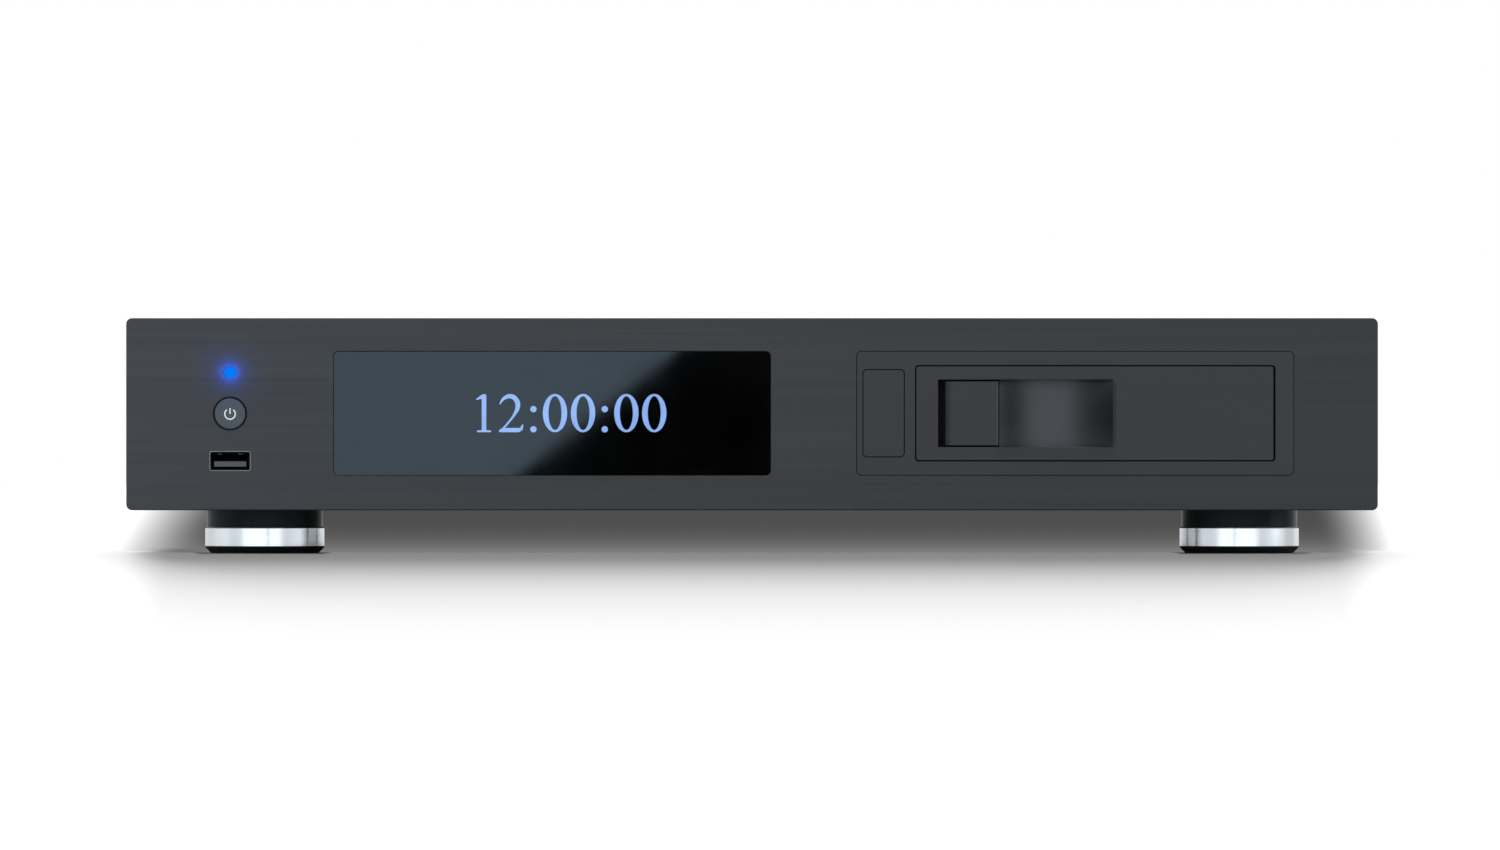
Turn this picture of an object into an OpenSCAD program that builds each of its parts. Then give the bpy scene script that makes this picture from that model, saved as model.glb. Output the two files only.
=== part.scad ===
// Media player with a removable hard drive tray.
// Full-width hi-fi case on round feet. +X to the right, +Z up, the front looks along -Y.
// The origin lies under the middle of the whole object, on the surface that it stands on.

/* [Faceplate] */
// Width of the faceplate
face_w = 430; // [424:1:450]
// Height of the faceplate
face_h = 66; // [64:1:80]
// Thickness of the faceplate
face_t = 8; // [7.5:0.5:10]
// Radius of the faceplate's four corners
face_corner = 2; // [1:0.5:4]
// Chamfer round the faceplate's front edge
face_edge = 0.3; // [0.2:0.1:0.6]

/* [Case] */
// Depth of the case behind the faceplate
case_d = 280; // [276:1:320]
// How far each side of the case stands in from the faceplate's end
case_inset = 3; // [2:0.5:5]
// How far the faceplate stands past the case's top and bottom
case_drop = 1.5; // [1:0.5:3]
// Thickness of the case's sheet steel
sheet = 1.2; // [0.8:0.1:1.5]
// Depth of the flanges folded on the front frame, rear panel and pan
flange = 12; // [10:1:14]
// Width of a vent slot in the top cover
vent_w = 3; // [2:0.5:3.5]
// Length of a vent slot
vent_len = 46; // [30:1:60]
// Distance from one vent slot to the next
vent_pitch = 7; // [5:0.5:10]

/* [Feet] */
// Radius of a foot's polished ring
foot_r = 20.6; // [16:0.1:24]
// How far the foot's black neck stands in from the ring
foot_step = 0.5; // [0.3:0.1:2]
// Height of the neck between ring and case
foot_neck_h = 7.5; // [6:0.1:10]
// Height of the polished ring
foot_ring_h = 6.9; // [5:0.1:9]
// Height of the rubber pad
foot_pad_h = 2.1; // [1.5:0.1:4]
// Chamfer round the bottom of the pad
foot_pad_edge = 2; // [0.5:0.1:2]
// Chamfer round the ring's two edges
foot_ring_edge = 0.4; // [0.2:0.1:0.8]
// Wall of the polished ring
foot_ring_wall = 3.6; // [2:0.1:6]
// Distance from a foot's axis to the faceplate's end
foot_in = 46.4; // [36:0.1:60]
// Distance from the front feet's axes to the faceplate's front
foot_front = 45; // [34:1:60]
// Distance from the rear feet's axes to the case's back
foot_rear = 48; // [40:1:60]
// Radius of the foot screws
foot_screw_r = 2; // [1.5:0.1:2.5]

/* [Controls] */
// Distance from the faceplate's left end to the column of light, button and USB socket
control_in = 35.7; // [33:0.1:41]
// Height of the status light above the faceplate's middle
light_up = 14.3; // [13:0.1:18]
// Radius of the status light's lens
light_r = 2.2; // [1.5:0.1:3]
// Height of the power button above the faceplate's middle
button_up = 0.2; // [-1:0.1:2]
// Radius of the power button's cap
button_r = 5.2; // [4:0.1:6]
// Gap round the power button's cap
button_gap = 0.65; // [0.3:0.05:0.8]
// How far the power button stands out of the faceplate
button_proud = 0.6; // [0.2:0.1:1.5]
// Thickness of the rim that keeps a button in, and of the ledge that stops it
button_rim = 1.3; // [1:0.1:1.6]
// How far a button travels
button_travel = 0.8; // [0.4:0.1:0.9]
// Radius of a button's stem
stem_r = 1.7; // [1.2:0.1:2]
// Height of the USB socket below the faceplate's middle
usb_down = 16.1; // [14:0.1:18]
// Width of the USB socket's opening in the faceplate
usb_cut_w = 13.7; // [13.5:0.1:15]
// Height of the USB socket's opening in the faceplate
usb_cut_h = 6.4; // [6.2:0.1:8]
// Outer width of a USB socket's shell
usb_w = 13.1; // [13.1:0.05:13.3]
// Outer height of a USB socket's shell
usb_h = 5.72; // [5.7:0.02:5.9]
// Wall of a USB socket's shell
usb_wall = 0.3; // [0.25:0.05:0.4]

/* [Display] */
// Share of the bare faceplate beside the controls that lies between them and the display
display_share = 0.37861; // [0.36:0.00001:0.4]
// Height of the display's and the rack's middle above the faceplate's middle
panel_up = 0.3; // [-1:0.1:2]
// Width of the opening for the display window, and of the opening for the rack
panel_w = 150.4; // [150:0.1:151]
// Height of both openings
panel_h = 42.8; // [42.6:0.1:43.4]
// Corner radius of both openings
panel_corner = 1.8; // [1:0.1:3]
// Thickness of the display window
window_t = 3; // [2:0.1:4]
// How far the window's front lies behind the faceplate's
window_back = 0.2; // [0.1:0.05:0.5]
// Width of the ledge that the window rests on
window_ledge = 3.2; // [2:0.1:5]
// How far each end of the display tube stands in from the window's clear part
tube_in = 2; // [1:0.1:8]
// How far the tube's top and bottom stand in from the window's clear part
tube_drop = 1.7; // [1:0.1:4]
// Thickness of the display tube
tube_t = 7; // [5:0.5:8]

/* [Rack] */
// Share of the bare faceplate beside the controls that lies to the right of the rack
rack_share = 0.30802; // [0.29:0.00001:0.33]
// Depth of the rack's bezel
bezel_d = 10; // [9.5:0.5:12]
// How much narrower the steel cage is than the bezel
cage_step = 4; // [3:0.1:5]
// How much lower the steel cage is than the bezel
cage_drop = 1.1; // [0.8:0.1:2]
// How far the steel cage reaches past the board behind the drive
cage_past = 9.8; // [6:0.1:14]
// Thickness of the cage's sheet
cage_t = 1; // [0.8:0.1:1.2]
// Distance from the bezel's left edge to the rack button
rack_button_edge = 2.25; // [2:0.05:2.5]
// Width of the rack button
rack_button_w = 13.9; // [12:0.1:14]
// Distance from the rack button to the bezel's top and bottom
rack_button_margin = 6.35; // [6:0.05:10]
// Gap round the rack button
rack_button_gap = 0.3; // [0.2:0.05:0.4]

/* [Door and latch] */
// Distance from the rack button to the door
door_from_button = 4.3; // [4.2:0.05:4.5]
// Distance from the door to the bezel's right edge
door_edge = 6.65; // [6.5:0.05:6.8]
// Distance from the door to the bezel's top and bottom
door_margin = 5.1; // [5:0.05:5.3]
// Gap round the door
door_gap = 0.45; // [0.35:0.05:0.5]
// Thickness of the door's plate
door_t = 5; // [4.8:0.1:5]
// Corner radius of the door
door_corner = 1; // [0.5:0.1:1.5]
// Rounding of the door's edge beside the hinge
door_round = 0.8; // [0.7:0.1:1]
// Distance from the door's edge to its hinge axis
hinge_in = 3.6; // [3.4:0.1:3.7]
// Distance from the door's front to its hinge axis
hinge_back = 2; // [2:0.05:2.1]
// Radius of the hinge pin
pin_r = 0.6; // [0.5:0.05:0.65]
// Width of the grip recess
grip_w = 60.2; // [58:0.1:62]
// Distance from the grip recess to the door's top and bottom
grip_margin = 4.5; // [4.3:0.1:6]
// Distance from the grip recess to the door's left end
grip_in = 7.45; // [7:0.05:8]
// Depth of the finger scoop
scoop_depth = 9; // [7:0.1:10]
// Radius of the finger scoop's curve
scoop_r = 31; // [30:0.5:34]
// Wall behind and round the scoop
grip_wall = 1.2; // [0.8:0.1:1.5]
// Width of the latch plate
latch_w = 18.2; // [16:0.1:19]
// Gap between the latch plate and the top and bottom of the grip recess
latch_clear = 0.6; // [0.3:0.1:2]
// Thickness of the latch plate
latch_t = 2.6; // [2.2:0.1:2.7]
// How far the latch slides
latch_travel = 2.3; // [2:0.1:2.4]

/* [Tray] */
// How far each side wall of the tray stands in from the door's end
tray_in = 1.95; // [1.8:0.05:2.2]
// Thickness of the tray's walls
tray_t = 1.2; // [1:0.1:1.4]
// How far the tray's front stands in from the door's top and bottom
tray_drop = 0.2; // [0.1:0.05:0.4]
// Height of the tray's side walls
tray_side_h = 21; // [18:0.5:26]
// How far a runner stands out of the tray's side
runner_w = 1.5; // [1:0.1:1.7]
// Height of a runner
runner_h = 3; // [2:0.1:4]
// Length of the 3.5 inch drive that the tray is for
drive_l = 147; // [147:0.1:147]
// Distance across between the drive's screw holes
drive_holes_x = 95.25; // [95.25:0.01:95.25]
// Distance along between the drive's screw holes
drive_holes_y = 44.45; // [44.45:0.01:44.45]
// Distance from the drive's back to its nearer screw holes
drive_holes_in = 41.28; // [41.28:0.01:41.28]
// Radius of the screw holes for the drive
drive_hole_r = 2; // [1.9:0.1:2.4]

/* [Electronics] */
// Distance from the faceplate's back to the front board
board_gap = 10; // [10:0.5:14]
// Thickness of the circuit boards
board_t = 1.6; // [1:0.1:2]
// Height of the standoffs under the main and the power board
standoff_h = 6; // [4:0.5:8]
// Width of the main board
main_w = 160; // [150:1:164]
// Depth of the main board
main_d = 170; // [150:1:180]
// Width of the power board
power_w = 110; // [100:1:112]
// Depth of the power board
power_d = 52; // [40:1:56]
// Distance from the transformer to the main board and to the rack's cage
transformer_gap = 7.4; // [6:0.1:16]
// Height of the transformer
transformer_h = 34; // [24:1:40]
// Height of the heat sink
sink_h = 24; // [12:1:30]
// Radius of a smoothing capacitor
capacitor_r = 9; // [7:0.5:11]
// Height of a smoothing capacitor
capacitor_h = 30; // [20:1:36]
// Length of the phono sockets behind the rear panel
phono_len = 9; // [8:0.5:10]
// Tilt of the mains rocker in each of its two places
rocker_tilt = 8; // [5:1:10]

/* [Fits] */
// Gap between a fixed piece and the opening that it fills
fit_gap = 0.2; // [0.15:0.01:0.22]
// Gap beside a piece that slides
slide_gap = 0.3; // [0.25:0.05:0.35]
// Radial gap between a running pin or stem and its hole
run_gap = 0.07; // [0.05:0.01:0.1]
// Radial gap between a screw and its hole
screw_gap = 0.1; // [0.05:0.05:0.2]
// Radius of the case and board screws
screw_r = 1.5; // [1.2:0.1:1.5]

/* [Hidden] */
$fn = 48;
eps = 1;

case_z0 = foot_pad_h + foot_ring_h + foot_neck_h;
face_z0 = case_z0 - case_drop;
face_z1 = face_z0 + face_h;
case_z1 = face_z1 - case_drop;
mid_z = (face_z0 + face_z1) / 2;
panel_z = mid_z + panel_up;
floor_z = case_z0 + sheet;
roof_z = case_z1 - sheet;
case_w = face_w - 2 * case_inset;
inner_w = case_w - 2 * sheet;
case_y0 = face_t;
case_y1 = face_t + case_d;
frame_y = case_y0 + sheet;
side_gap = 0.5;

// The whole depth, from the power button to the phono sockets, is centred on y = 0
front_y = button_proud - (button_proud + face_t + case_d + phono_len) / 2;

// The bare faceplate is shared out between the controls, the display, the rack and its right end
bare_w = face_w - control_in - 2 * panel_w;
control_x = control_in - face_w / 2;
display_gap = display_share * bare_w;
display_x = control_x + display_gap + panel_w / 2;
rack_x = face_w / 2 - rack_share * bare_w - panel_w / 2;

head_r = 2.75;
head_h = 1.4;
foot_x = face_w / 2 - foot_in;
foot_ys = [foot_front, case_y1 - foot_rear];
foot_places = [for (y = foot_ys, s = [-1, 1]) [s * foot_x, y]];
foot_head_r = 1.8 * foot_screw_r;
foot_head_h = 3.2;
foot_spigot_r = foot_r - foot_ring_wall;
foot_boss_h = 4;
pad_hole_r = foot_head_r + 1.5;

light_z = mid_z + light_up;
button_z = mid_z + button_up;
usb_z = mid_z - usb_down;
button_hole_r = button_r + button_gap;
button_rim_r = button_hole_r + 0.7;
button_ledge_y = face_t - button_travel - button_rim - 0.7;
board_y = face_t + board_gap;
switch_w = 9;
switch_t = 5;
stem_bore_wall = 1;
usb_proud_back = 0.6;

window_y = window_back + window_t;
window_open_w = panel_w - 2 * window_ledge;
window_open_h = panel_h - 2 * window_ledge;
tube_y = window_y + 2.3;
tube_w = window_open_w - 2 * tube_in;
tube_h = window_open_h - 2 * tube_drop;
front_board_x = 9.5 - inner_w / 2;
front_board_w = display_x + panel_w / 2 - front_board_x;
front_board_z0 = floor_z + flange / 2;
front_board_z1 = roof_z - flange / 2;
front_posts = [for (x = [front_board_x + 5, control_x + 0.68 * display_gap, front_board_x + front_board_w - 5],
                    z = [front_board_z0 + 4, front_board_z1 - 4]) [x, z]];
post_r = 3;

bezel_w = panel_w - 2 * fit_gap;
bezel_h = panel_h - 2 * fit_gap;
cage_w = bezel_w - cage_step;
cage_h = bezel_h - cage_drop;
cage_in_x = cage_w / 2 - cage_t;
cage_in_z = cage_h / 2 - cage_t;
cage_z0 = panel_z - cage_h / 2;
collar_d = 3;
collar_t = 1.2;
rack_button_h = bezel_h - 2 * rack_button_margin;
rack_button_in = bezel_w / 2 - rack_button_edge - rack_button_w / 2;
rack_button_front = bezel_d - button_travel - button_rim - 1.9;
rack_board_y = bezel_d + switch_t + 1.5;
rack_board_h = rack_button_h - 4;
rack_post_r = 4;

door_w = bezel_w - rack_button_edge - rack_button_w - door_from_button - door_edge;
door_h = bezel_h - 2 * door_margin;
door_off = bezel_w / 2 - door_edge - door_w / 2;
door_x = rack_x + door_off;
hinge_x = door_w / 2 - hinge_in;
ear_r = pin_r + 0.65;
ear_h = 2.5;
notch_front = hinge_back - ear_r - 0.15;
tray_y = door_t + 2;
tray_w = door_w - 2 * tray_in;
tray_h = door_h - 2 * tray_drop;
grip_h = door_h - 2 * grip_margin;
grip_x0 = grip_in - door_w / 2;
grip_x1 = grip_x0 + grip_w;
latch_h = grip_h - 2 * latch_clear;
latch_gap = latch_travel + 0.15;
latch_x0 = grip_x0 + latch_gap;
latch_x1 = latch_x0 + latch_w;
latch_front = 0.6;
latch_floor = latch_front + latch_t + fit_gap;
scoop_y = scoop_depth - scoop_r;
scoop_x = grip_x1 - sqrt(scoop_r * scoop_r - scoop_y * scoop_y);
scoop_box = [latch_x1 - grip_wall, grip_x1 + grip_wall];
scoop_box_h = grip_h / 2 + grip_wall;
neck_x = [latch_x0 + 5.5, latch_x0 + 11.5];
neck_z = 4;
bar_x = [latch_x0 - 3.6, latch_x0 + 14];
bar_y = [door_t + fit_gap, tray_y - 0.4];
bar_z = 5;
hook_x = [bar_x[0], bar_x[0] + 1.5];
hook_z = 3;
barb = 1.4;
hook_y = tray_y + tray_t + 5;
tab_x = [bar_x[0] + 2.6, bar_x[0] + 5.6];
tab_z = bar_z + 5;
lug_x = [bar_x[0] - 4.4, bar_x[0] - 3.4];
keeper_t = 0.8;
keeper_w = 2.25;
keeper_x = [hook_x[1] + 0.3, hook_x[1] + 0.3 + keeper_w];
keeper_y = hook_y - 1.8 - 0.2 - keeper_t;
keeper_drop = 4;
keeper_foot = 8;

drive_y0 = hook_y + 0.8;
drive_y1 = drive_y0 + drive_l;
tray_z0 = -tray_h / 2 + 0.5;
tray_y1 = drive_y1 - 0.5;
runner_y0 = tray_y + tray_t + 6;
guide_y = [bezel_d + collar_d + fit_gap, tray_y1 + 6];
guide_in = tray_w / 2 + slide_gap;
groove_x = tray_w / 2 + runner_w + slide_gap;
guide_h = runner_h + 10;
guide_wall = 2;
connector_d = 7;
backplane_y = drive_y1 + 0.6 + connector_d;
cage_y1 = backplane_y + board_t + cage_past;
post_ys = [bezel_d + 0.41 * (cage_y1 - bezel_d), bezel_d + 0.88 * (cage_y1 - bezel_d)];
rack_posts_in = [for (y = post_ys, s = [-1, 1]) [s * (cage_w / 2 - 13), y]];

main_z = floor_z + standoff_h;
main_x = [-inner_w / 2 + 8, -inner_w / 2 + 8 + main_w];
main_y = [case_y1 - sheet - 4 - main_d, case_y1 - sheet - 4];
power_x = [foot_x - foot_r + 1 - power_w, foot_x - foot_r + 1];
power_y = [case_y1 - 34 - power_d, case_y1 - 34];
transformer_r = (rack_x - cage_w / 2 - main_x[1]) / 2 - transformer_gap;
transformer_at = [main_x[1] + transformer_gap + transformer_r, case_y0 + 0.4 * case_d];
standoff_r = 3;
board_in = 6;
main_holes = [for (x = main_x + [board_in, -board_in], y = main_y + [board_in, -board_in - 20]) [x, y]];
power_holes = [for (x = power_x + [board_in, -board_in], y = power_y + [board_in, -board_in]) [x, y]];

inlet_x = power_x[1] - 10;
switch_x = inlet_x - 40;
rear_z = main_z + board_t;
inlet_z = mid_z;
inlet_w = 27;
inlet_h = 19.5;
inlet_cut_w = 23.8;
inlet_cut_h = 15.8;
inlet_d = 20;
inlet_flange = 2;
wire_in = 14;
switch_cut_w = 19.4;
switch_cut_h = 12.9;
rocker_w = 15;
video_xs = [for (share = [0.3875, 0.5375]) main_x[0] + share * main_w];
video_w = 15;
video_h = 6.2;
video_d = 11;
lan_x = main_x[0] + 0.1125 * main_w;
lan_w = 16;
lan_h = 13.5;
lan_d = 21;
usb_rear_x = main_x[0] + 0.2625 * main_w;
usb_stack = [1.2, 9];
phono_xs = [for (share = [0.7, 0.8, 0.9]) main_x[0] + share * main_w];
phono_up = 9;
phono_r = 4.15;
phono_body = 6;
phono_back = 14;
face_screw_in = 12;
face_screw_drop = 11;

// ---- Shapes that repeat ----

// Corner points of a rectangle with rounded corners, centred on the origin
function round_rect(w, h, r, steps = 6) = [
    for (q = [0 : 3], i = [0 : steps])
        let (a = 90 * (q + i / steps),
             cx = (q == 0 || q == 3) ? w / 2 - r : r - w / 2,
             cy = q < 2 ? h / 2 - r : r - h / 2)
        [cx + r * cos(a), cy + r * sin(a)]];

// A box given by its two ends along each axis
module block(x, y, z) {
    translate([x[0], y[0], z[0]]) cube([x[1] - x[0], y[1] - y[0], z[1] - z[0]]);
}

// A plate with rounded corners that faces front, between two depths
module slab(w, h, r, y) {
    translate([0, y[1], 0]) rotate([90, 0, 0]) linear_extrude(y[1] - y[0]) polygon(round_rect(w, h, r));
}

// A round rod that runs from front to back
module y_rod(r, y) {
    translate([0, y[1], 0]) rotate([90, 0, 0]) cylinder(r = r, h = y[1] - y[0]);
}

// A standing round rod
module z_rod(r, z) {
    translate([0, 0, z[0]]) cylinder(r = r, h = z[1] - z[0]);
}

// A tube that stands, with its bore
module z_tube(r, bore, z) {
    difference() {
        z_rod(r, z);
        z_rod(bore, z + [-eps, eps]);
    }
}

// A screw along +Z: its shank starts at the origin, and its head with a hexagon socket lies below
module screw(r, len, hr, hh) {
    difference() {
        union() {
            cylinder(r = r, h = len);
            translate([0, 0, -hh]) cylinder(r = hr, h = hh);
        }
        translate([0, 0, -hh - eps]) cylinder(r = hr / 2, h = hh * 0.6 + eps, $fn = 6);
    }
}

// Puts children at each of a list of places in the x-y plane
module at_xy(places) {
    for (p = places) translate([p[0], p[1], 0]) children();
}

// Puts children at each of a list of places in the x-z plane
module at_xz(places) {
    for (p = places) translate([p[0], 0, p[1]]) children();
}

// Moves a sub-part from faceplate depths to the object's own frame
module placed() {
    translate([0, front_y, 0]) children();
}

// The rack's own frame: its middle, at faceplate depths
module in_rack() {
    placed() translate([rack_x, 0, panel_z]) children();
}

// The door's own frame: its middle, at faceplate depths
module in_door() {
    placed() translate([door_x, 0, panel_z]) children();
}

// ---- Case ----

side_screws = [for (y = [case_y0 + flange / 2, case_y1 - flange / 2]) [y, mid_z]];
pan_screws = [for (x = [-inner_w / 3, -inner_w / 12, inner_w / 4],
                   y = [case_y0 + flange / 2, case_y1 - flange / 2]) [x, y]];
skirt_screws = [for (y = [case_y0 + case_d * 0.35, case_y0 + case_d * 0.68]) [y, case_z0 + flange / 2]];
post_places = [for (p = rack_posts_in) [rack_x + p[0], p[1]]];
pan_holes = concat(pan_screws, post_places, main_holes, power_holes, [transformer_at]);
face_screws = [for (x = [face_screw_in - face_w / 2, (display_x + rack_x) / 2, face_w / 2 - face_screw_in],
                    z = [face_z0 + face_screw_drop, face_z1 - face_screw_drop]) [x, z]];

module faceplate() {
    color([0.25, 0.26, 0.27]) placed() difference() {
        translate([0, 0, mid_z]) hull() {
            slab(face_w, face_h, face_corner, [face_edge, face_t]);
            slab(face_w - 2 * face_edge, face_h - 2 * face_edge, face_corner - face_edge, [0, face_t]);
        }
        translate([display_x, 0, panel_z]) {
            slab(panel_w, panel_h, panel_corner, [-eps, window_y]);
            slab(window_open_w, window_open_h, panel_corner, [-eps, face_t + eps]);
        }
        translate([rack_x, 0, panel_z]) slab(panel_w, panel_h, panel_corner, [-eps, face_t + eps]);
        translate([control_x, 0, light_z]) y_rod(light_r + run_gap, [-eps, face_t + eps]);
        translate([control_x, 0, button_z]) {
            y_rod(button_hole_r, [-eps, face_t + eps]);
            y_rod(button_rim_r + slide_gap, [button_ledge_y, face_t + eps]);
        }
        translate([control_x, 0, usb_z]) slab(usb_cut_w, usb_cut_h, 0.5, [-eps, face_t + eps]);
        at_xz(face_screws) y_rod(screw_r, [face_t - 5, face_t + eps]);
    }
}

module flanged_sheet(y, cut) {
    difference() {
        block([-inner_w / 2, inner_w / 2], y, [floor_z, roof_z]);
        block([sheet - inner_w / 2, inner_w / 2 - sheet], cut, [floor_z + sheet, roof_z - sheet]);
    }
}

module flange_holes() {
    at_xy(pan_screws) z_rod(screw_r, [floor_z - eps, floor_z + sheet + eps]);
    for (s = [-1, 1], p = side_screws)
        translate([s * (inner_w / 2 - sheet / 2), p[0], p[1]]) rotate([0, 90, 0])
            cylinder(r = screw_r, h = sheet + 2 * eps, center = true);
}

module front_frame() {
    color("silver") placed() difference() {
        union() {
            flanged_sheet([case_y0, case_y0 + flange], [frame_y, case_y0 + flange + eps]);
            at_xz(front_posts) y_rod(post_r, [frame_y - 0.2, board_y]);
        }
        at_xz(front_posts) y_rod(screw_r, [frame_y, board_y + eps]);
        translate([display_x, 0, panel_z])
            slab(window_open_w + 2, window_open_h + 2, panel_corner, [case_y0 - eps, frame_y + eps]);
        translate([rack_x, 0, panel_z])
            slab(panel_w + 0.6, panel_h + 0.6, panel_corner, [case_y0 - eps, frame_y + eps]);
        translate([control_x, 0, light_z]) y_rod(light_r + run_gap, [case_y0 - eps, frame_y + eps]);
        translate([control_x, 0, button_z]) y_rod(stem_r + 2, [case_y0 - eps, frame_y + eps]);
        translate([control_x, 0, usb_z]) slab(usb_cut_w + 1, usb_cut_h + 1, 0.5, [case_y0 - eps, frame_y + eps]);
        at_xz(face_screws) y_rod(screw_r + screw_gap, [case_y0 - eps, frame_y + eps]);
        flange_holes();
    }
}

module bottom_pan() {
    pan_y = [case_y0 + flange + side_gap, case_y1 - flange - side_gap];
    color("silver") placed() difference() {
        union() {
            block([-inner_w / 2, inner_w / 2], [case_y0, case_y1], [case_z0, floor_z]);
            for (s = [-1, 1])
                translate([s * (inner_w - sheet) / 2, 0, 0])
                    block([-sheet / 2, sheet / 2], pan_y, [case_z0, case_z0 + flange]);
            at_xy(foot_places) z_rod(foot_screw_r + 2, [case_z0, floor_z + foot_boss_h]);
        }
        at_xy(foot_places) z_rod(foot_screw_r + screw_gap, [case_z0 - eps, floor_z + foot_boss_h + eps]);
        at_xy(pan_holes)
            z_rod(screw_r + screw_gap, [case_z0 - eps, floor_z + eps]);
        for (s = [-1, 1], p = skirt_screws)
            translate([s * (inner_w - sheet) / 2, p[0], p[1]]) rotate([0, 90, 0])
                cylinder(r = screw_r, h = sheet + 2 * eps, center = true);
        for (i = [-6 : 6])
            translate([i * vent_pitch, case_y0 + 0.625 * case_d, 0])
                block([-vent_w / 2, vent_w / 2], [0, vent_len], [case_z0 - eps, floor_z + eps]);
    }
}

module vent_field(x, y, count) {
    for (i = [0 : count - 1])
        translate([x + (i - (count - 1) / 2) * vent_pitch, y, case_z1 - sheet - eps])
            linear_extrude(sheet + 2 * eps) polygon(round_rect(vent_w, vent_len, vent_w / 2 - 0.01, 3));
}

module top_cover() {
    color([0.12, 0.12, 0.13]) placed() difference() {
        block([-case_w / 2, case_w / 2], [case_y0, case_y1], [case_z0, case_z1]);
        block([-inner_w / 2, inner_w / 2], [case_y0 - eps, case_y1 + eps], [case_z0 - eps, roof_z]);
        vent_field((main_x[0] + main_x[1]) / 2, case_y1 - 60, 18);
        vent_field((main_x[0] + main_x[1]) / 2, case_y1 - 118, 18);
        vent_field((power_x[0] + power_x[1]) / 2, case_y1 - 60, 14);
        for (s = [-1, 1], p = concat(side_screws, skirt_screws))
            translate([s * (case_w - sheet) / 2, p[0], p[1]]) rotate([0, 90, 0])
                cylinder(r = screw_r + screw_gap, h = sheet + 2 * eps, center = true);
    }
}

module rear_panel() {
    cut_y = [case_y1 - sheet - eps, case_y1 + eps];
    color([0.12, 0.12, 0.13]) placed() difference() {
        flanged_sheet([case_y1 - flange, case_y1], [case_y1 - flange - eps, case_y1 - sheet]);
        flange_holes();
        translate([inlet_x, 0, inlet_z]) slab(inlet_cut_w + 3, inlet_cut_h + 3, 2, cut_y);
        translate([switch_x, 0, inlet_z]) slab(switch_cut_w, switch_cut_h, 0.5, cut_y);
        for (x = video_xs) translate([x, 0, rear_z + video_h / 2]) slab(video_w + 0.6, video_h + 0.6, 0.5, cut_y);
        translate([lan_x, 0, rear_z + lan_h / 2]) slab(lan_w + 0.6, lan_h + 0.6, 0.5, cut_y);
        for (z = usb_stack)
            translate([usb_rear_x, 0, rear_z + z + usb_h / 2]) slab(usb_w + 0.6, usb_h + 0.6, 0.5, cut_y);
        for (x = phono_xs) translate([x, 0, rear_z + phono_up]) y_rod(phono_r + fit_gap, cut_y);
    }
}

// ---- Feet ----

module foot_neck(i) {
    z = [foot_pad_h, foot_pad_h + foot_ring_h, case_z0];
    color([0.05, 0.05, 0.05]) placed() translate([foot_places[i - 1][0], foot_places[i - 1][1], 0]) difference() {
        union() {
            z_rod(foot_r - foot_step, [z[1], z[2]]);
            z_rod(foot_spigot_r, [z[0], z[2]]);
        }
        z_rod(foot_screw_r + screw_gap, [z[0] - eps, z[2] + eps]);
        z_rod(foot_head_r + 0.5, [z[0] - eps, z[0] + foot_head_h + 0.6]);
    }
}

module foot_ring(i) {
    color([0.85, 0.86, 0.88]) placed() translate([foot_places[i - 1][0], foot_places[i - 1][1], 0])
        rotate_extrude() polygon([
            [foot_spigot_r + run_gap, foot_pad_h], [foot_r - foot_ring_edge, foot_pad_h],
            [foot_r, foot_pad_h + foot_ring_edge], [foot_r, foot_pad_h + foot_ring_h - foot_ring_edge],
            [foot_r - foot_ring_edge, foot_pad_h + foot_ring_h],
            [foot_spigot_r + run_gap, foot_pad_h + foot_ring_h]]);
}

module foot_pad(i) {
    edge = min(foot_pad_edge, foot_pad_h - 0.1);
    color([0.04, 0.04, 0.04]) placed() translate([foot_places[i - 1][0], foot_places[i - 1][1], 0])
        rotate_extrude() polygon([
            [pad_hole_r, 0], [foot_r - edge, 0], [foot_r, edge],
            [foot_r, foot_pad_h], [pad_hole_r, foot_pad_h]]);
}

module foot_screws() {
    color("silver") placed() at_xy(foot_places) translate([0, 0, foot_pad_h + foot_head_h + 0.6])
        screw(foot_screw_r, floor_z + foot_boss_h - foot_pad_h - foot_head_h - 1, foot_head_r, foot_head_h);
}

// ---- Display and controls ----

module display_window() {
    color([0.08, 0.1, 0.12]) placed() translate([display_x, 0, panel_z])
        slab(panel_w - 2 * fit_gap, panel_h - 2 * fit_gap, panel_corner - fit_gap, [window_back, window_y]);
}

module display_tube() {
    color([0.1, 0.2, 0.25]) placed() translate([display_x, 0, panel_z]) {
        block([-tube_w / 2, tube_w / 2], [tube_y, tube_y + tube_t], [-tube_h / 2, tube_h / 2]);
        for (s = [-1, 1])
            block([s * (tube_w / 2 - 5) - 3, s * (tube_w / 2 - 5) + 3], [tube_y + tube_t - 0.5, board_y],
                  [-tube_h / 3, tube_h / 3]);
    }
}

module led_lens() {
    color([0, 0.49, 1]) placed() translate([control_x, 0, light_z]) y_rod(light_r, [0, frame_y]);
}

module status_led() {
    color([0.5, 0.7, 1]) placed() translate([control_x, 0, light_z]) {
        y_rod(light_r - 0.6, [frame_y + 0.4, board_y - 1]);
        y_rod(light_r, [board_y - 1.2, board_y]);
    }
}

module power_button() {
    color([0.29, 0.33, 0.35]) placed() translate([control_x, 0, button_z]) {
        y_rod(button_r, [-button_proud, button_ledge_y + 0.5]);
        y_rod(button_rim_r, [button_ledge_y + 0.05, button_ledge_y + button_rim]);
        y_rod(stem_r, [button_ledge_y, board_y - switch_t + 3]);
    }
}

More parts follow.
